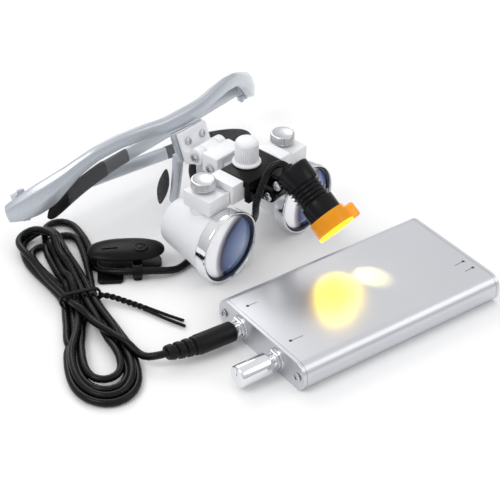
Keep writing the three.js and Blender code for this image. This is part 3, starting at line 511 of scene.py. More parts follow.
def carved(name, base, cutters, slot, matrix, nodes=None, bevel=0.0, sharp=SHARP_ANGLE, material=None):
    """A solid with others cut from it, then its sharp edges rounded when bevel is above zero."""
    made = piece(name, *base, slot=slot, nodes=nodes, matrix=matrix, sharp=sharp, material=material)
    tools = []
    for k, cutter in enumerate(cutters):
        tool = piece(f"{name}_Cutter_{k}", *cutter, slot=slot, body="optics_beam", matrix=matrix)
        modifier = made.modifiers.new("Cut", "BOOLEAN")
        modifier.object = tool
        modifier.solver = "EXACT"
        tools.append(tool)
    applied(made)
    for tool in tools:
        bpy.data.objects.remove(tool)
    rounded_edges(made, bevel)
    coated(made, slot, material)
    smooth(made.data, sharp)
    return made


def rounded_edges(made, width, segments=2):
    if width <= 0:
        return
    shape = bmesh.new()
    shape.from_mesh(made.data)
    bmesh.ops.remove_doubles(shape, verts=shape.verts, dist=2 * MERGE_DISTANCE)
    bmesh.ops.dissolve_limit(shape, angle_limit=FLAT_ANGLE, verts=shape.verts, edges=shape.edges)
    shape.to_mesh(made.data)
    shape.free()
    modifier = made.modifiers.new("Round", "BEVEL")
    modifier.width = width * MM
    modifier.segments = segments
    modifier.limit_method = "ANGLE"
    modifier.angle_limit = BEVEL_ANGLE
    applied(made)


def eased(name, slot, width, segments=2, node=None):
    """The CAD node's own shape with its edges rounded, which stands for the node."""
    node = node or name.lower()
    made = shown(name, frame["nodes"][node].data.copy())
    rounded_edges(made, width, segments)
    smooth(made.data)
    return settle(made, slot, (node,), None)


def dressed(node, slot):
    """A CAD node that stays, with a better material."""
    kept = frame["nodes"][node]
    for place in kept.material_slots:
        place.link = "OBJECT"
        place.material = MATERIALS[slot]


# ---- the lead
CORD_LOOP = [(-2.4, -12.9, 51.2), (-2.4, -10.4, 53.1), (-3.6, -7.9, 53.7), (-6, -5.9, 52.2), (-8.4, -5, 49),
             (-10, -3.6, 43.6), (-10.7, -2.2, 38), (-10.8, -1, 33.6)]
CORD_FRONT = [(-10.7, -0.8, 32.5), (-9.5, 0.5, 28.4), (-7, 2.9, 24), (-5.6, 5.7, 18.6), (-6, 9.6, 12),
              (-8, 14.8, 6), (-12, 19.8, 2.6), (-19, 23, 2), (-30, 21.4, 2), (-39, 20.6, 2.4),
              (-45.9, 23.1, 4), (-49, 25.7, 4.3), (-55.9, 32.1, 4.3), (-59.8, 37, 3.8), (-62.2, 41.6, 3),
              (-63.8, 44.8, 2.7)]
CORD_TAIL = [(-94, -14, 4.9), (-92, -17.8, 5.9), (-89.4, -20.2, 6.5), (-87.4, -21.2, 6.65),
             (-85.1, -22.3, 6.65)]
# The hank's half turns in the tie's own axes: across, along, height. Upper and lower ones take turns.
HANK = [
    [(13.8, 30, 1.9), (14, 42, 1.9), (13.2, 54, 1.9), (9.8, 62.5, 2), (4, 65.5, 2.2), (-0.5, 61, 2.4),
     (-2.5, 50, 2.5), (-3, 36, 2.6), (-3, 18, 2.7), (-3.2, 0, 2.85)],
    [(-6, -12, 2.2), (-11, -26, 1.8), (-16, -40, 1.8), (-17.4, -52, 1.8), (-14.5, -62, 1.8),
     (-7, -68.3, 1.8), (0.5, -67, 1.8), (6.5, -60, 1.8), (9.4, -49, 1.8), (9.6, -37, 1.8), (8.4, -20, 2.2),
     (6.4, 0, 2.85)],
    [(8.5, 14, 2.6), (10.8, 28, 2.3), (11.8, 40, 2.2), (11.8, 47, 2.2), (9.7, 52, 2.4), (5, 54, 2.8),
     (0.2, 52, 3.4), (-1.9, 47, 4), (-1.9, 40, 4.3), (-1.5, 30, 4.6), (-1.5, 18, 5.2), (-1.6, 0, 5.65)],
    [(-4.5, -12, 4.8), (-9.5, -26, 4.2), (-14.6, -40, 4), (-16, -50, 4.2), (-13.6, -59.5, 4.4),
     (-6.5, -65.4, 4.6), (0.5, -64, 4.6), (5.8, -57, 4.6), (8, -46, 4.6), (8, -32, 4.8), (6.2, -15, 5.2),
     (4.8, 0, 5.65)],
    [(4.6, 14, 5.6), (3.6, 28, 5.4), (1.2, 42, 5.2), (0.4, 49, 5.1), (-1.6, 54.5, 5), (-6.6, 57, 4.7),
     (-11.6, 54.5, 4.2), (-13.8, 49, 3.5), (-13.8, 40, 2.6), (-11.4, 26, 2), (-8.6, 12, 2.4),
     (-6.4, 0, 2.85)],
    [(-8.6, -14, 2), (-11.6, -28, 1.8), (-13.4, -40, 1.8), (-13, -50, 1.8), (-9.6, -58, 1.8),
     (-3.6, -61.6, 1.8), (2, -58.6, 1.8), (5.6, -49, 1.8), (6.3, -38, 1.8), (5.4, -20, 2.2),
     (3.2, 0, 2.85)],
    [(2.6, 16, 2.8), (2.2, 30, 2.6), (1.6, 41, 2.2), (-0.4, 46.4, 2), (-5, 48.6, 1.9), (-9.6, 46.4, 1.8),
     (-11.6, 41, 1.8), (-10.4, 28, 1.9), (-4.6, 14, 2.3), (0, 0, 2.85)],
    [(-3.2, -10, 2.8), (-7, -22, 3.8), (-10, -34, 4.6), (-11.2, -46, 4.8), (-9, -54.5, 4.9),
     (-3.8, -57.8, 4.9), (1.2, -55, 4.9), (4.2, -46.5, 4.9), (5, -36, 4.9), (4, -20, 5), (1.6, 0, 5.65)],
    [(1.2, 14, 5.9), (0, 28, 6.2), (-1, 43, 6.3), (-0.8, 50, 6.1), (-2.8, 55.6, 5.8), (-7.4, 57.8, 5.4),
     (-12.2, 55.6, 5), (-14.2, 50, 4.6), (-13.8, 38, 4.4), (-9.6, 16, 4.8), (-4.8, 0, 5.65)],
    [(-2.6, -10, 6.3), (1, -20, 6.6), (5, -30, 6.6), (9, -39, 6.2), (11.9, -44.6, 5.4)],
]
LEAD_STEP = 2.6  # between two points of the centreline
GENTLE_SAG = LEAD_STEP ** 2 / (2 * 3 * CORD_D)  # a point's offset from its neighbours' chord, radius 3 D
LEAD_LOW, LEAD_TOP = CORD_D / 2 + 0.3, 6.7  # the heights between which the centreline stays
NEIGHBOURS = 3  # points that are too close along the lead to be pushed apart
HELD_POINTS = 4  # at the plug
RELAX_STEPS = 260
SHOVE, BEND, EVEN, SHARP, HOME = 0.3, 0.5, 0.3, 0.42, 0.005  # the share of each pull that one step takes
LONGEST_SHOVE = 0.5
SINK = 0.01  # what one step lowers a free point by
LOOP_STEP = 0.5
LOOP_JOIN = 4  # the point of CORD_LOOP at which the loop's two tubes meet


def relaxed_lead():
    """The lead's centreline, with its strands pushed apart until they lie on and beside each other."""
    hank = carried(IN_TIE, [place for half in HANK for place in half])
    line = resampled(spline(np.vstack([CORD_FRONT, hank, CORD_TAIL]), 8), LEAD_STEP)
    home = line.copy()
    count = len(line)
    free = np.zeros(count, bool)
    free[nearest(line, CORD_FRONT[-2]):count - HELD_POINTS] = True
    order = np.arange(count)
    apart = np.abs(order[:, None] - order[None, :]) > NEIGHBOURS
    for _ in range(RELAX_STEPS):
        delta = line[:, None, :] - line[None, :, :]
        distance = np.sqrt((delta ** 2).sum(2)) + 1e-9
        near = apart & (distance < CORD_D)
        push = np.where(near, (CORD_D - distance) / distance, 0.0)[:, :, None] * delta
        shove = push.sum(1) * SHOVE
        size = np.linalg.norm(shove, axis=1, keepdims=True)
        shove *= np.minimum(1, LONGEST_SHOVE / np.maximum(size, 1e-9))
        bend = np.zeros_like(line)
        bend[2:-2] = (-line[:-4] + 4 * line[1:-3] - 6 * line[2:-2] + 4 * line[3:-1] - line[4:]) / 16
        pull = np.zeros_like(line)
        pull[1:-1] = (line[:-2] + line[2:]) / 2 - line[1:-1]
        sharp = np.clip(np.linalg.norm(pull, axis=1) / GENTLE_SAG - 1, 0, 1)[:, None]
        along = tangents_of(line)
        even = (pull * along).sum(1, keepdims=True) * along
        moved = line + shove + BEND * bend + EVEN * even + SHARP * sharp * pull + HOME * (home - line)
        moved[:, 2] = np.clip(moved[:, 2] - SINK, LEAD_LOW, LEAD_TOP)
        line[free] = moved[free]
    return line


def add_lead():
    """The long curve, riding on the optics beam, and the loop above it as two tubes that meet."""
    line = relaxed_lead()
    data = bpy.data.curves.new("Lead", "CURVE")
    data.dimensions = "3D"
    run = data.splines.new("POLY")
    run.points.add(len(line) - 1)
    for point, place in zip(run.points, metres(line)):
        point.co = (*place, 1)
    data.bevel_depth = CORD_D / 2 * MM
    data.bevel_resolution = 5
    data.use_fill_caps = True
    lead = shown("Lead", data)
    data.materials.append(CORD_SKIN)
    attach(lead, "optics_beam")
    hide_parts("cord_front", "cord_hank", "cord_tail")

    loop = resampled(spline(CORD_LOOP, 12), LOOP_STEP)
    whole = np.vstack([loop, line[:3]])
    middle = nearest(loop, CORD_LOOP[LOOP_JOIN])
    above, below = pipe(whole[:middle + 1], CORD_D / 2, 20), pipe(whole[middle:], CORD_D / 2, 20)
    upper = piece("Lead_At_Lamp", *above, slot="black_rubber", nodes=(), material=CORD_SKIN)
    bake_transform(upper)
    lower = piece("Lead_At_Arm", *below, slot="black_rubber", nodes=(), material=CORD_SKIN)
    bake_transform(lower)
    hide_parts("cord_loop")
    return lead, [upper, lower], steps_of(line).sum() + steps_of(loop).sum()


LEAD, LOOP_PIECES, LEAD_LENGTH = add_lead()


TAIL_STEP = 0.6
TAIL_TWISTED = 0.52  # the share of the tie's tail that is twisted
TWIST_PITCH = 5.2
WIRE_RADIUS = 0.72
WIRE_LOW = 0.8


def add_tie():
    """A flat wire tie: a band round the strands, its twisted tails and their two loose ends."""
    band = [np.array((x, 0, z)) for x, z in rounded(-8.95, 8.95, 0.75, 7.75, 3.2, 6)]
    section = [(-1.05, -0.3), (-1.05, 0.3), (-0.6, 0.5), (0.6, 0.5), (1.05, 0.3), (1.05, -0.3), (0.6, -0.5),
               (-0.6, -0.5)]
    loops = []
    for k, middle in enumerate(band):
        along = band[(k + 1) % len(band)] - band[k - 1]
        along /= np.linalg.norm(along)
        out = np.array([along[2], 0, -along[0]])
        loops.append(np.array([middle + out * q + np.array([0, p, 0]) for p, q in section]))
    shapes = [loft([*loops, loops[0]], capped=False)]
    tail = resampled(spline([(8.4, 0, 3.6), (12, -1.4, 3.2), (18, -6.4, 2.4), (24, -12.2, 1.7),
                             (33, -23.6, 1.5), (38.4, -29.8, 1.4)], 10), TAIL_STEP)
    tangents = tangents_of(tail)
    side = np.cross(tangents, [0, 0, 1.0])
    side /= np.linalg.norm(side, axis=1)[:, None]
    up = np.cross(side, tangents)
    twisted = int(len(tail) * TAIL_TWISTED)
    past = np.arange(len(tail)) - twisted
    spread = 0.78 + 0.8 * np.clip(past / max(1, len(tail) - twisted), 0, 1)
    for half in (0, 1):
        phase = np.minimum(past, 0) * TAIL_STEP * 2 * math.pi / TWIST_PITCH + math.pi * half
        run = tail + spread[:, None] * (np.cos(phase)[:, None] * side + 0.8 * np.sin(phase)[:, None] * up)
        run[:, 2] = np.maximum(run[:, 2], WIRE_LOW)
        stop = len(run) - 4 * half
        shapes.append(pipe(run[:stop], WIRE_RADIUS, 10))
    return piece("Twist_Tie", *several(*shapes), slot="black_rubber", matrix=IN_TIE)


TIE = add_tie()


# ---- plug and garment clip
def add_plug():
    """A moulded body with three ribs, whose tail bends towards the lead, and its barrel."""
    profile = [(0, 4.4), (4.1, 4.4), (4.5, 4.9), (4.5, 21.4), (4.2, 22.2)]
    for k in range(3):
        y, r = 23.4 + 3.6 * k, 4.2 - 0.25 * k
        profile += [(r, y), (r - 1.0, y + 0.25), (r - 1.0, y + 1.25), (r - 0.1, y + 1.5)]
    profile += [(3.3, 34.2), (2.9, 35), (CORD_D / 2, 35), (CORD_D / 2, 33), (0, 33)]
    points, faces = turned(profile, 0.3, 2, 48)
    run = np.maximum(0, points[:, 1] - 9) / 26
    points[:, 0] += 3.8 * run * run
    body = piece("Plug_Body", points, faces, slot="black_rubber", matrix=IN_PLUG,
                 material=MOULD)
    barrel = turned([(0, -7.5), (1.7, -7.5), (2.1, -7), (2.1, 8.6), (0, 8.6)], 0.2, 3, 40)
    return [body, piece("Plug_Barrel", *barrel, slot="steel", matrix=IN_PLUG)]


PLUG = add_plug()


def add_garment_clip():
    """A sprung clip: a domed oval lid over a flat jaw, with a small ring at its side for the cord."""
    pivot_x, pivot_z = 5, 5
    ears = [box(pivot_x - 2, pivot_x + 2, *sorted((3 * sign, 4.8 * sign)), 1.5, 6.2) for _, sign in SIDES]
    teeth = [box(x, x + 1.1, -4, 4, 1.8, 3.2) for x in (-15, -12.6)]
    holder = turned([(1.85, 2.6), (2.9, 2.6), (2.9, 7), (1.85, 7)], 0.2, 2, 40, "X", closed=True)
    pin, stem, bore = [shifted(rod(radius, -reach, reach, 32), pivot_x, 0, pivot_z)
                       for radius, reach in ((1, 4.5), (2.2, 2.6), (1.4, 9))]
    base = several(slab(-15.8, 15.8, -5.8, 5.8, 4.6, 0.2, 1.9), slab(-13, -1.5, -14.4, -4, 2, 0.2, 1.9),
                   slab(2.8, 6.8, -12.8, -4, 1.2, 0.2, 2.2), shifted(holder, 0, -11, 4.3), pin, *ears, *teeth)
    lower = piece("Garment_Clip_Base", *base, slot="black_plastic", nodes=("clip_lower",), matrix=IN_CLIP)
    dome = ((0.9, 7.4), (0.98, 7.7), (1, 8.3), (0.97, 8.9), (0.88, 9.6), (0.72, 10.2), (0.5, 10.6),
            (0.25, 10.8))
    rings = [oval_ring((0, 0, z), 17.2 * size, 8.2 * size, 48, 2.5) for size, z in dome]
    lid = several(loft(rings), box(-15.6, -13, -4, 4, 3.8, 8), stem,
                  box(pivot_x - 1.8, pivot_x + 1.8, -2.6, 2.6, pivot_z, 8))
    groove = box(-11, -3.6, -2.2, -1.2, 9.7, 12)
    upper = carved("Garment_Clip_Lid", lid, [groove, bore], "black_plastic", IN_CLIP, ("clip_upper",))
    spring = box(-10.6, -4, -1.85, -1.55, 9.6, 10)
    wire = piece("Garment_Clip_Spring", *spring, slot="chrome", body="clip_jaw", matrix=IN_CLIP)
    swirl = [(0, 10.9), (1.1, 10.9), (1.3, 10.5), (2.1, 10.5), (2.4, 11.1), (3.2, 11), (3.5, 10.3),
             (3.5, 9.4), (0, 9.4)]
    button = shifted(turned(swirl, 0.15, 2, 48, "Z"), 6.5, -1.5)
    boss = piece("Garment_Clip_Boss", *button, body="clip_jaw", matrix=IN_CLIP,
                 material=MATERIALS["black_plastic"])
    return [lower, upper, wire, boss]


GARMENT_CLIP = add_garment_clip()


# ---- optics beam and lamp mount
eased("Optics_Beam", "white_plastic", 0.6, 3, "beam")
eased("Rail", "steel", 0.3)
eased("Lamp_Mount", "black_plastic", 0.4)
eased("Lamp_Arm", "black_plastic", 0.3)


def add_screw(name, x0, x1, y, z, shank, head, head_length, matrix=NO_MOVE):
    """A domed cross-head screw along +X, head at its low end. Its node has the same name in small letters."""
    profile = [(0, x0 - 0.15), (head * 0.55, x0 - 0.05), (head, x0 + 0.35), (head, x0 + head_length),
               (shank, x0 + head_length), (shank, x1 - 0.3), (shank - 0.3, x1), (0, x1)]
    depth, half, reach = head_length * 0.6, head * 0.15, head * 0.62
    cross = [box(x0 - 1, x0 + depth, -reach, reach, -half, half),
             box(x0 - 1, x0 + depth, -half, half, -reach, reach)]
    carved(name, turned(profile, 0.12, 2, 32, "X"), cross, "steel", matrix @ move(0, y, z))


def add_screws():
    rear = carried(IN_FRAME, (0, *REAR_HINGE))[0]
    add_screw("Link_Pin_Front", -10, 8.9, *FRONT_HINGE, 1.2, 2.2, 1.2)
    add_screw("Link_Pin_Rear", -10, 8.9, rear[1], rear[2], 1.2, 2.2, 1.2)
    add_screw("Arm_Screw_Lower", -7.2, 5.9, *ARM_PIVOT, 1.05, 2.1, 1.2)
    add_screw("Arm_Screw_Upper", -8.3, 6.6, *LAMP_PIVOT, 1.05, 2.1, 1.2)
    for side, sign in SIDES:
        place = IN_FRAME @ move(4.6 * sign, -5.6, -9.8) @ turn("Z", 90)
        add_screw(f"Bracket_Screw_{side}", 0, 6.3, 0, 0, 0.85, 1.7, 0.9, place)
    for k, y in enumerate((4.2, PACK["width"] - 4.2)):
        add_screw(f"End_Screw_{k + 1}", -1.1, 6, y, PACK["height"] / 2, 0.8, 1.9, 0.8, IN_PACK)


add_screws()


def add_clamp_knob():
    foot = [(0, 43.3), (6.5, 43.3), (6.5, 44.0), (6.1, 44.4), (5.45, 44.9), (5.3, 52.6)]
    crown = [(5.3, 52.6, 0), (5.15, 53.4, 0), (4.5, 54.5, 0), (3.0, 55.2, 0), (0, 55.4, 0)]
    profile = softened(foot, 0.25, 3)[:-1] + spline(crown, 5)[:, :2].tolist()
    cap = lathe(profile, 216, "Z", flutes=(36, 0.32, 4.9, 44.8, 53.0))
    stud = rod(1.6, 38.9, 43.4, 24, "Z")
    piece("Clamp_Knob", *several(cap, stud), slot="white_plastic",
          matrix=move(0, KNOB_Y, 0), sharp=50)


add_clamp_knob()


# ---- carriers, thumbscrews, barrels
def add_thumbscrew(side, sign):
    profile = [(0, 30.6), (1.2, 30.6), (1.5, 30.9), (1.5, 40.6), (3.2, 40.6), (3.2, 41.6), (5.0, 41.6),
               (5.5, 42.1), (5.5, 45.4), (5.2, 45.9), (4.6, 46.0), (4.2, 45.7), (0, 45.4)]
    shape = lathe(softened(profile, 0.15, 2), 192, "Z", flutes=(40, 0.34, 5.3, 42.2, 45.45))
    piece(f"Thumbscrew_{side}", *shape, slot="steel",
          matrix=move(PUPIL * sign, SCREW_Y, 0), sharp=40)


def add_barrel(side, sign):
    place = move(PUPIL * sign, 0, AXIS_Z)
    outer = spline([(15.72, 6.3, 0), (15.4, 9, 0), (14.3, 14.6, 0), (13.2, 20, 0), (11.9, 28, 0),
                    (11.3, 31, 0), (10.6, 32.9, 0), (9.3, 34, 0)], 6)[:, :2].tolist()
    inner = [(8.2, 34), (7.7, 33.6), (7.7, 30), (9.8, 26.4), (12, 16), (14, 6.3)]
    shell = lathe([(14, 6.3), (15.6, 6.3), *outer, *inner], 96)
    boss = shifted(rod(6, 12.8, 15.7, 48, "Z", 0.3), y=SCREW_Y)
    piece(f"Barrel_{side}", *several(shell, boss), slot="white_plastic",
          matrix=place, sharp=40)
    rim = turned([(15.3, 6), (16.5, 6), (17, 5.5), (17, 0.7), (16.7, 0), (16.1, 0), (15.9, 1.4),
                       (15.3, 1.7)], 0.25, 3, 128, closed=True)
    piece(f"Rim_{side}", *rim, slot="chrome", matrix=place, sharp=50)
    ring = turned([(15.0, 1.2), (15.6, 1.05), (15.6, 1.9), (15.3, 2.4), (15.05, 2.4)], 0.1, 2, 96,
                  closed=True)
    piece(f"Lens_Retainer_{side}", *ring, body=f"magnifier_{side}", matrix=place, material=RETAINER)
    dome = [(r, 1.2 + 1.4 * (r / 15) ** 2) for r in np.linspace(0.8, 15, 16)]
    # The painted reflection's centre lies off the lens's axis, so its white edge falls on one side only.
    sweep = painted_reflection_lens(f"Lens_Painted_Reflection_{side}", (PUPIL * sign + 11, 2, AXIS_Z - 5))
    piece(f"Objective_Lens_{side}", *lathe([(0, 1.2), *dome, (15, 4.6), (0, 4.6)], 96), slot="coated_glass",
          matrix=place, material=sweep)
    back = [(r, 33 - 0.6 * (1 - (r / 7.3) ** 2)) for r in np.linspace(7, 0.4, 9)]
    piece(f"Eyepiece_Lens_{side}", *lathe([(0, 31), (7.3, 31), (7.3, 33), *back, (0, 32.4)], 64),
          slot="coated_glass", matrix=place)
    band = turned([(7.75, 33.6), (8.3, 34.05), (9.1, 34.05), (9.1, 33.7), (8.2, 33.3)], 0.1, 2, 64,
                  closed=True)
    piece(f"Eyepiece_Ring_{side}", *band, body=f"magnifier_{side}", matrix=place, material=RETAINER)


for side_name, side_sign in SIDES:
    eased(f"Carrier_{side_name}", "white_plastic", 0.6, 3)
    add_thumbscrew(side_name, side_sign)
    add_barrel(side_name, side_sign)

eased("Link", "white_plastic", 0.5, 3)
eased("Bracket_Plate", "white_plastic", 0.4)


# ---- spectacle frame
BROW_TOP = [(0, 3.9), (12, 4), (22, 5.2), (34, 5.6), (44, 4.3), (52, 1.8), (60, -1.3), (68, -4.2), (75, -7.6),
            (81, -11.5)]  # the bar's upper and lower edge: distance from the middle, height
BROW_LOW = [(0, -4), (12, -2.9), (22, -1.4), (34, -0.8), (44, -2.2), (52, -5.4), (58, -10.2), (64, -15.4),
            (70, -18.2), (76, -19), (81, -17.6)]
EDGE_REACH = 3.0  # half the length over which the edge's height is averaged


def brow_back(x):
    """How far back the bar's middle lies at x."""
    return 9 * (abs(x) / 43) ** 2.46


def even(a, low, high):
    """0 at low and 1 at high, with a level start and end."""
    t = min(1.0, max(0.0, (a - low) / (high - low)))
    return t * t * (3 - 2 * t)


def height_at(table, x):
    a = abs(x)
    k = sum(knot < a for knot, _ in table[1:-1])
    (x0, y0), (x1, y1) = table[k:k + 2]
    straight = (a - x0) / (x1 - x0)
    return y0 + (y1 - y0) * (0.35 * even(a, x0, x1) + 0.65 * straight)


def rounded_height(table, x):
    """The edge's height with its corners rounded by averaging along the bar."""
    offsets = np.linspace(-EDGE_REACH, EDGE_REACH, 9)
    weights = 1 - (offsets / (EDGE_REACH * 1.15)) ** 2
    return float(sum(w * height_at(table, x + o) for w, o in zip(weights, offsets)) / weights.sum())


def add_brow_bar():
    section = softened([(-0.55, 1), (0.35, 1), (1, 0.55), (1, -0.25), (0.45, -1), (-0.8, -1), (-1, -0.6),
                        (-1, 0.6)], 0.16, 2, closed=True)
    rings = []
    for s in range(141):
        x = 79 * math.sin((s / 140 * 2 - 1) * (math.pi / 2) * 0.999)
        top, low = rounded_height(BROW_TOP, x), rounded_height(BROW_LOW, x)
        slope = brow_back(x + 0.5) - brow_back(x - 0.5)
        n = np.array([slope, -1.0]) / math.hypot(slope, 1)
        half = 1.9 + 0.8 * even(abs(x), 45, 68)
        rings.append(np.array([(x + n[0] * out * half, brow_back(x) + n[1] * out * half,
                                (top + low) / 2 + up * (top - low) / 2) for out, up in section]))
    shapes = [loft(rings)]
    back, height = TEMPLE["b"], TEMPLE["v"]
    for _, sign in SIDES:
        x = TEMPLE["x"] * sign
        for v in (4.1, -6.3):
            z0, z1 = height + v, height + v + 2.2
            shapes.append(shifted(rod(2.3, z0, z1, 32, "Z", 0.2), x, back))
            shapes.append(box(*sorted((x, x + 4 * sign)), back - 2.25, back + 2.25, z0 + 0.02, z1 - 0.02))
        profile = [(0, -7.4), (1, -7.4), (1, 6.2), (1.7, 6.2), (1.7, 7.2), (0, 7.2)]
        pin, faces = turned(profile, 0.15, 3, 24, "Z")
        shapes.append((carried(move(x, back, height) @ turn("Y", TEMPLE["lean"]), pin), faces))
    piece("Brow_Bar", *several(*shapes), slot="silver_paint", matrix=IN_FRAME, sharp=28)


def add_lens(side, sign):
    rings = []
    for s in range(49):
        x = 10.3 + 47.7 * s / 48
        nose = 9 * max(0, 1 - (x - 10.3) / 12) ** 2
        temple = 30 * max(0, (x - 44) / 18) ** 2.2
        low = -49.2 + 0.42 * brow_back(x) + nose * 1.6 + temple
        high = max(rounded_height(BROW_LOW, x) - 1.7, low + 2)
        front, back = [], []
        for v in np.linspace(low, high, 13):
            b = brow_back(x) + 0.1 * max(0, -v) + 0.0022 * v * v
            front.append((x * sign, b - 1, v))
            back.append((x * sign, b + 1, v))
        rings.append(np.array(front + back[::-1]))
    piece(f"Lens_{side}", *loft(rings), slot="clear_lens", matrix=IN_FRAME, sharp=40)


def add_nose_piece():
    shapes = []
    for _, sign in SIDES:
        rings = []
        for t in np.linspace(0, 1, 17):
            fade = math.sqrt(max(0.05, 1 - max(0, (t - 0.9) / 0.1) ** 2))
            rings.append(oval_ring((sign * (7.6 + 2.2 * t * t), 1.5 + 11.5 * t, -15 - 24 * t), 1.1 * fade,
                                   (3.4 - 0.6 * t) * fade, 20, 4))
        shapes.append(loft(rings))
    holes = [shifted(rod(1.15, -4, 4, 24), 4.6 * sign, 0, -9.8) for _, sign in SIDES]
    carved("Nose_Bridge_Saddle", box(-9.2, 9.2, -1.6, 1.6, -18.5, -4.4), holes, "silver_paint", IN_FRAME,
           ("nose_bridge",), 0.5)
    piece("Nose_Bridge_Legs", *several(*shapes), slot="silver_paint", nodes=("nose_bridge",), matrix=IN_FRAME)
    for side, sign in SIDES:
        rings = []
        for t in np.linspace(0, 1, 25):
            swell = math.sin(math.pi * (0.04 + 0.92 * t)) ** 0.8
            rings.append(oval_ring((sign * (9.6 + 1.6 * t), 10.9 + 10 * t, -22 - 17 * t), 1.5 * swell,
                                   3.8 * swell, 24, 2.3))
        piece(f"Nose_Pad_{side}", *loft(rings), slot="black_rubber",
              matrix=IN_FRAME)


BLADE_SIDES = 24


def drop(r):
    """How far the temple's middle lies below its hinge, at the distance r along it."""
    return -0.065 * r - 0.0032 * max(0, r - 95) ** 2


def blade(start, end, steps, height, thickness, power=3.2):
    """A stretch of the temple. height and thickness are functions of the share of its length."""
    rings = []
    for t in np.linspace(0, 1, steps + 1):
        r = start + (end - start) * t
        x, z = superellipse(thickness(t) / 2, height(t) / 2, BLADE_SIDES, power)
        rings.append(np.stack([x, np.full(BLADE_SIDES, r), drop(r) + z], 1))
    return loft(rings)


def add_temple(side, sign):
    place = IN_FRAME @ move(TEMPLE["x"] * sign, TEMPLE["b"], TEMPLE["v"]) @ turn("Y", TEMPLE["lean"]) \
        @ turn("Z", TEMPLE[side])
    joint, sleeve_start = TEMPLE["joiner"], TEMPLE["sleeve"]
    arm = blade(1.2, joint - 0.3, 40, lambda t: 6.6 - 0.4 * t, lambda t: 2.6)
    knuckle = turned([(1.3, -3.6), (2.3, -3.6), (2.3, 3.6), (1.3, 3.6)], 0.2, 2, 32, "Z", closed=True)
    joiner = blade(joint - 0.15, sleeve_start - 0.15, 10, lambda t: 6.3 + 0.5 * t, lambda t: 3 + 0.4 * t)
    sleeve = blade(sleeve_start, TEMPLE["length"], 48, lambda t: 7.4 * math.sqrt(max(0.02, 1 - t ** 9)),
                   lambda t: (3.8 - t) * math.sqrt(max(0.1, 1 - t ** 14)), 2.8)
    for name, shape, slot in ((f"Temple_{side}", several(arm, knuckle), "silver_paint"),
                              (f"Temple_Joiner_{side}", joiner, "grey_joiner"),
                              (f"Temple_Sleeve_{side}", sleeve, "black_rubber")):
        piece(name, *shape, slot=slot, matrix=place, sharp=50)


add_brow_bar()
add_nose_piece()
for side_name, side_sign in SIDES:
    add_lens(side_name, side_sign)
    add_temple(side_name, side_sign)


# ---- headlight
def add_lamp():
    r, length = 7.8, 26.0
    outer = [(0, 0), (r - 0.6, 0), (r, -0.6), (r, -9.2)]
    for k in range(5):
        y = -9.2 - 2.0 * k
        outer += [(r - 1.1, y - 0.2), (r - 1.1, y - 1.0), (r, y - 1.2)]
    outer += [(r, -length - 5.2), (r - 0.25, -length - 5.4), (r - 1.1, -length - 5.4), (r - 1.3, -length - 5),
              (r - 1.3, -14.4), (0, -14.4)]
    body = turned(outer, 0.18, 2, 96)
    _, py, pz = carried(np.linalg.inv(IN_LAMP), (0, *LAMP_PIVOT))[0]
    cuts = [box(-3.1, 3.1, py - 3.3, 2, -r - 2, pz), shifted(rod(3.3, -3.1, 3.1, 40, "X"), 0, py, pz)]
    cuts += [box(*sorted((6.3 * sign, 9 * sign)), py - 3.2, 2, -r - 2, pz + 2.8) for _, sign in SIDES]
    carved("Lamp_Body", body, cuts, "black_aluminium", IN_LAMP)
    mouth = CORD_D / 2 + 0.1
    gland = turned([(mouth, -0.6), (2.9, -0.6), (2.9, 0.6), (2.4, 1.6), (mouth, 1.6)], 0.25, 2, 40,
                   closed=True)
    piece("Lamp_Gland", *shifted(gland, -2.4, 0, 1), slot="black_rubber", body="lamp_head", matrix=IN_LAMP)
    dressed("led_board", "led_white")
    lens = [(q, -28.9 + 1.5 * (q / 6.2) ** 2) for q in np.linspace(0.6, 6.2, 8)]
    piece("Condenser_Lens", *lathe([(0, -28.9), *lens, (6.2, -25.6), (0, -25.6)], 64), slot="clear_lens",
          matrix=IN_LAMP)
    front, open_end = -length - 7.6, -length + 0.8
    cap = turned([(0, front), (8.3, front), (8.7, front + 0.4), (8.7, open_end), (8.1, open_end),
                  (8.1, front + 1.9), (0, front + 1.9)], 0.2, 2, 96)
    tab = shifted(rod(4.2, front + 0.1, front + 6.9, 48, ease=1.2), 8.5, 0, 2.8)
    bore = rod(8.1, front + 1.9, 10, 64)
    piece("Filter_Cap", *cap, slot="amber_filter", matrix=IN_LAMP)
    carved("Filter_Tab", tab, [bore], "amber_filter", IN_LAMP, ("filter_cap",), material=AMBER_TAB)
    lip = turned([(7.9, front - 0.06), (8.45, front - 0.06), (8.85, front + 0.35), (8.85, front + 1.1),
                       (7.9, front + 1.1)], 0.15, 2, 96, closed=True)
    piece("Filter_Lip", *lip, slot="amber_filter", nodes=("filter_cap",), matrix=IN_LAMP, material=LIT_EDGE)


add_lamp()


# ---- battery pack
def yz_ring(points, x):
    return np.stack([np.full(len(points), x), points[:, 0], points[:, 1]], 1)


def add_socket(name, place, neck, front, nut, half, depth, bore):
    """A threaded neck with a hexagonal nut and a washer outside the plate, and its body inside."""
    thread = [(bore, front), (neck - 0.2, front)]
    x = front + 0.2
    while x < -2.3:
        thread += [(neck, x), (neck - 0.22, x + 0.22)]
        x += 0.44
    thread += [(neck, -2.1), (neck, 2.5), (bore, 2.5), (bore, front)]
    hexagon = turned([(neck - 0.1, -2.1), (nut - 0.35, -2.1), (nut, -1.8), (nut, -1.0), (nut - 0.3, -0.7),
                      (neck - 0.1, -0.7)], 0.05, 1, 6, "X")
    washer = [(neck - 0.05, -0.7), (nut + 0.1, -0.7), (nut + 0.25, -0.5), (nut + 0.25, -0.08),
              (neck - 0.05, -0.08)]
    shapes = several(lathe(thread, 48, "X"), hexagon, lathe(washer, 48, "X"),
                     box(2.4, depth, -half, half, -4.5, 4.5))
    piece(name, *shapes, slot="chrome", matrix=place, sharp=25)


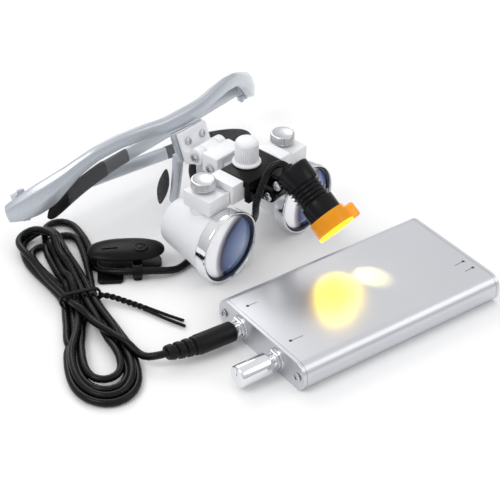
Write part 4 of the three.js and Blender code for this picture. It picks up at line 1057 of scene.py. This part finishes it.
def add_battery():
    length, width, height, wall, corner, plate = PACK.values()
    middle = height / 2

    def hole(radius, y, x=0.0):
        return shifted(rod(radius, -4, 4, 40, "X"), x, y, middle)

    outer = rounded(0, width, 0, height, corner, 12)
    inner = rounded(wall, width - wall, wall, height - wall, corner - wall, 12)
    small = rounded(0.12, width - 0.12, 0.12, height - 0.12, corner - 0.12, 12)
    start, end = plate + 0.15, length - plate - 0.15
    tube = loft([yz_ring(inner, start), yz_ring(outer, start), yz_ring(outer, end), yz_ring(inner, end),
                 yz_ring(inner, start)], capped=False)
    piece("Battery_Case", *tube, slot="brushed_aluminium", matrix=IN_PACK, sharp=50)
    near = loft([yz_ring(small, 0), yz_ring(outer, 0.15), yz_ring(outer, plate)])
    far = loft([yz_ring(outer, length - plate), yz_ring(outer, length - 0.15), yz_ring(small, length)])
    near_holes = [hole(1.1, 4.2), hole(1.1, width - 4.2), hole(3.6, JACK_Y), hole(3.3, SWITCH_Y)]
    carved("End_Plate_Near", near, near_holes, "brushed_aluminium", IN_PACK)
    carved("End_Plate_Far", far, [hole(3, SWITCH_Y, length)], "brushed_aluminium", IN_PACK)
    add_socket("Power_Jack", IN_PACK @ move(0, JACK_Y, middle), 3.3, -3.9, 5, 5, 13, 2.6)
    switch_place = IN_PACK @ move(0, SWITCH_Y, middle)
    add_socket("Dimmer_Switch", switch_place, 3, -4.6, 4.6, 6, 10.4, 1.85)
    knob = turned([(0, -6), (1.5, -6), (1.5, 5.1), (4.4, 5.1), (4.9, 5.6), (4.9, 19.5), (4.45, 20.2),
                   (0, 20.3)], 0.3, 3, 96)
    carved("Dimmer_Knob", knob, [box(-0.3, 0.3, 19.8, 22, 0.6, 5.2)], "chrome",
           switch_place @ turn("Z", 90), sharp=30)
    eased("Charge_Socket", "black_plastic", 0.15)
    dressed("battery_cell", "cell_wrap")
    add_leaders(height)


LEADERS = (((5.8, 47.2), (10.6, 47.1)), ((6.6, 18.2), (12.8, 17.9)), ((101, 18.5), (96, 18.2)),
           ((101.4, 12.7), (96.7, 12.4)))


def add_leaders(top):
    """Printed dots with a short line, with nothing written at their ends."""
    shapes = []
    for (x0, y0), (x1, y1) in LEADERS:
        shapes.append(shifted(rod(0.72, top - 0.05, top + 0.03, 28, "Z"), x0, y0))
        run = np.array([x1 - x0, y1 - y0])
        side = np.array([-run[1], run[0]]) / np.hypot(*run) * 0.14
        corners = [(x0, y0) - side, (x1, y1) - side, (x1, y1) + side, (x0, y0) + side]
        shapes.append(loft([np.array([(*c, z) for c in corners]) for z in (top - 0.05, top + 0.025)]))
    piece("Pack_Leaders", *several(*shapes), body="battery_pack", matrix=IN_PACK, material=PRINT)


add_battery()


# ---- floor and light
LAMP_MOUTH = (0, -34.2, 0)  # in the lamp's own axes
BEAM_RADIUS = 0.002  # metres
SKY_STRENGTH = 0.9
OBJECT_MIDDLE = (0, 0, 0.02)
def add_floor():
    data = bpy.data.meshes.new("Floor")
    data.from_pydata([(-4, -4, 0), (4, -4, 0), (4, 4, 0), (-4, 4, 0)], [], [(0, 1, 2, 3)])
    floor = shown("Floor", data)
    data.materials.append(surface("Floor_White", (0.93, 0.93, 0.93), 0.7, tone=0.005, cloud=3, grain=80,
                                  bump=0.0))


def aimed(light, place, target):
    light.location = place
    light.rotation_mode = "QUATERNION"
    light.rotation_quaternion = (Vector(target) - Vector(place)).to_track_quat("-Z", "Y")


def add_area(name, place, target, size, power):
    data = bpy.data.lights.new(name, "AREA")
    data.shape = "DISK"
    data.size = size
    data.energy = power
    aimed(shown(name, data), place, target)


def add_lamp_beam(name, power, color, spread, blend, target):
    """A spot at the lamp's mouth, which turns with the lamp."""
    data = bpy.data.lights.new(name, "SPOT")
    data.energy = power
    data.color = color
    data.spot_size = math.radians(spread)
    data.spot_blend = blend
    data.shadow_soft_size = BEAM_RADIUS
    beam = shown(name, data)
    aimed(beam, metres(carried(IN_LAMP, LAMP_MOUTH))[0], metres(target)[0])
    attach(beam, "lamp_head")


def add_world():
    world = bpy.data.worlds.new("Studio")
    bpy.context.scene.world = world
    world.use_nodes = True
    tree = world.node_tree
    background = tree.nodes["Background"]
    background.inputs["Strength"].default_value = SKY_STRENGTH
    split = wired(tree, "SeparateXYZ", Vector=wired(tree, "TexCoord").outputs["Generated"])
    ramp = wired(tree, "ValToRGB", Fac=split.outputs["Z"])
    low, high = ramp.color_ramp.elements
    low.position, high.position = 0.0, 0.75
    low.color, high.color = (0.55, 0.56, 0.6, 1), (1, 1, 1, 1)
    tree.links.new(ramp.outputs["Color"], background.inputs["Color"])


add_floor()
add_world()
add_area("Key", (-0.9, 0.2, 1.1), (-0.02, 0, 0.02), 0.7, 4.5)
add_area("Fill", (0.6, -1.0, 0.9), OBJECT_MIDDLE, 0.9, 2.2)
add_area("Back", (0.5, 1.0, 0.9), OBJECT_MIDDLE, 0.8, 4)
add_lamp_beam("Lamp_Beam", 0.16, (1.0, 0.9, 0.3), 31, 0.35, (3.5, -54, 13.3))
add_lamp_beam("Lamp_Glow", 0.15, (1.0, 0.7, 0.0), 60, 0.95, (-12, -50, 13.3))
bpy.context.scene.view_settings.view_transform = "Standard"
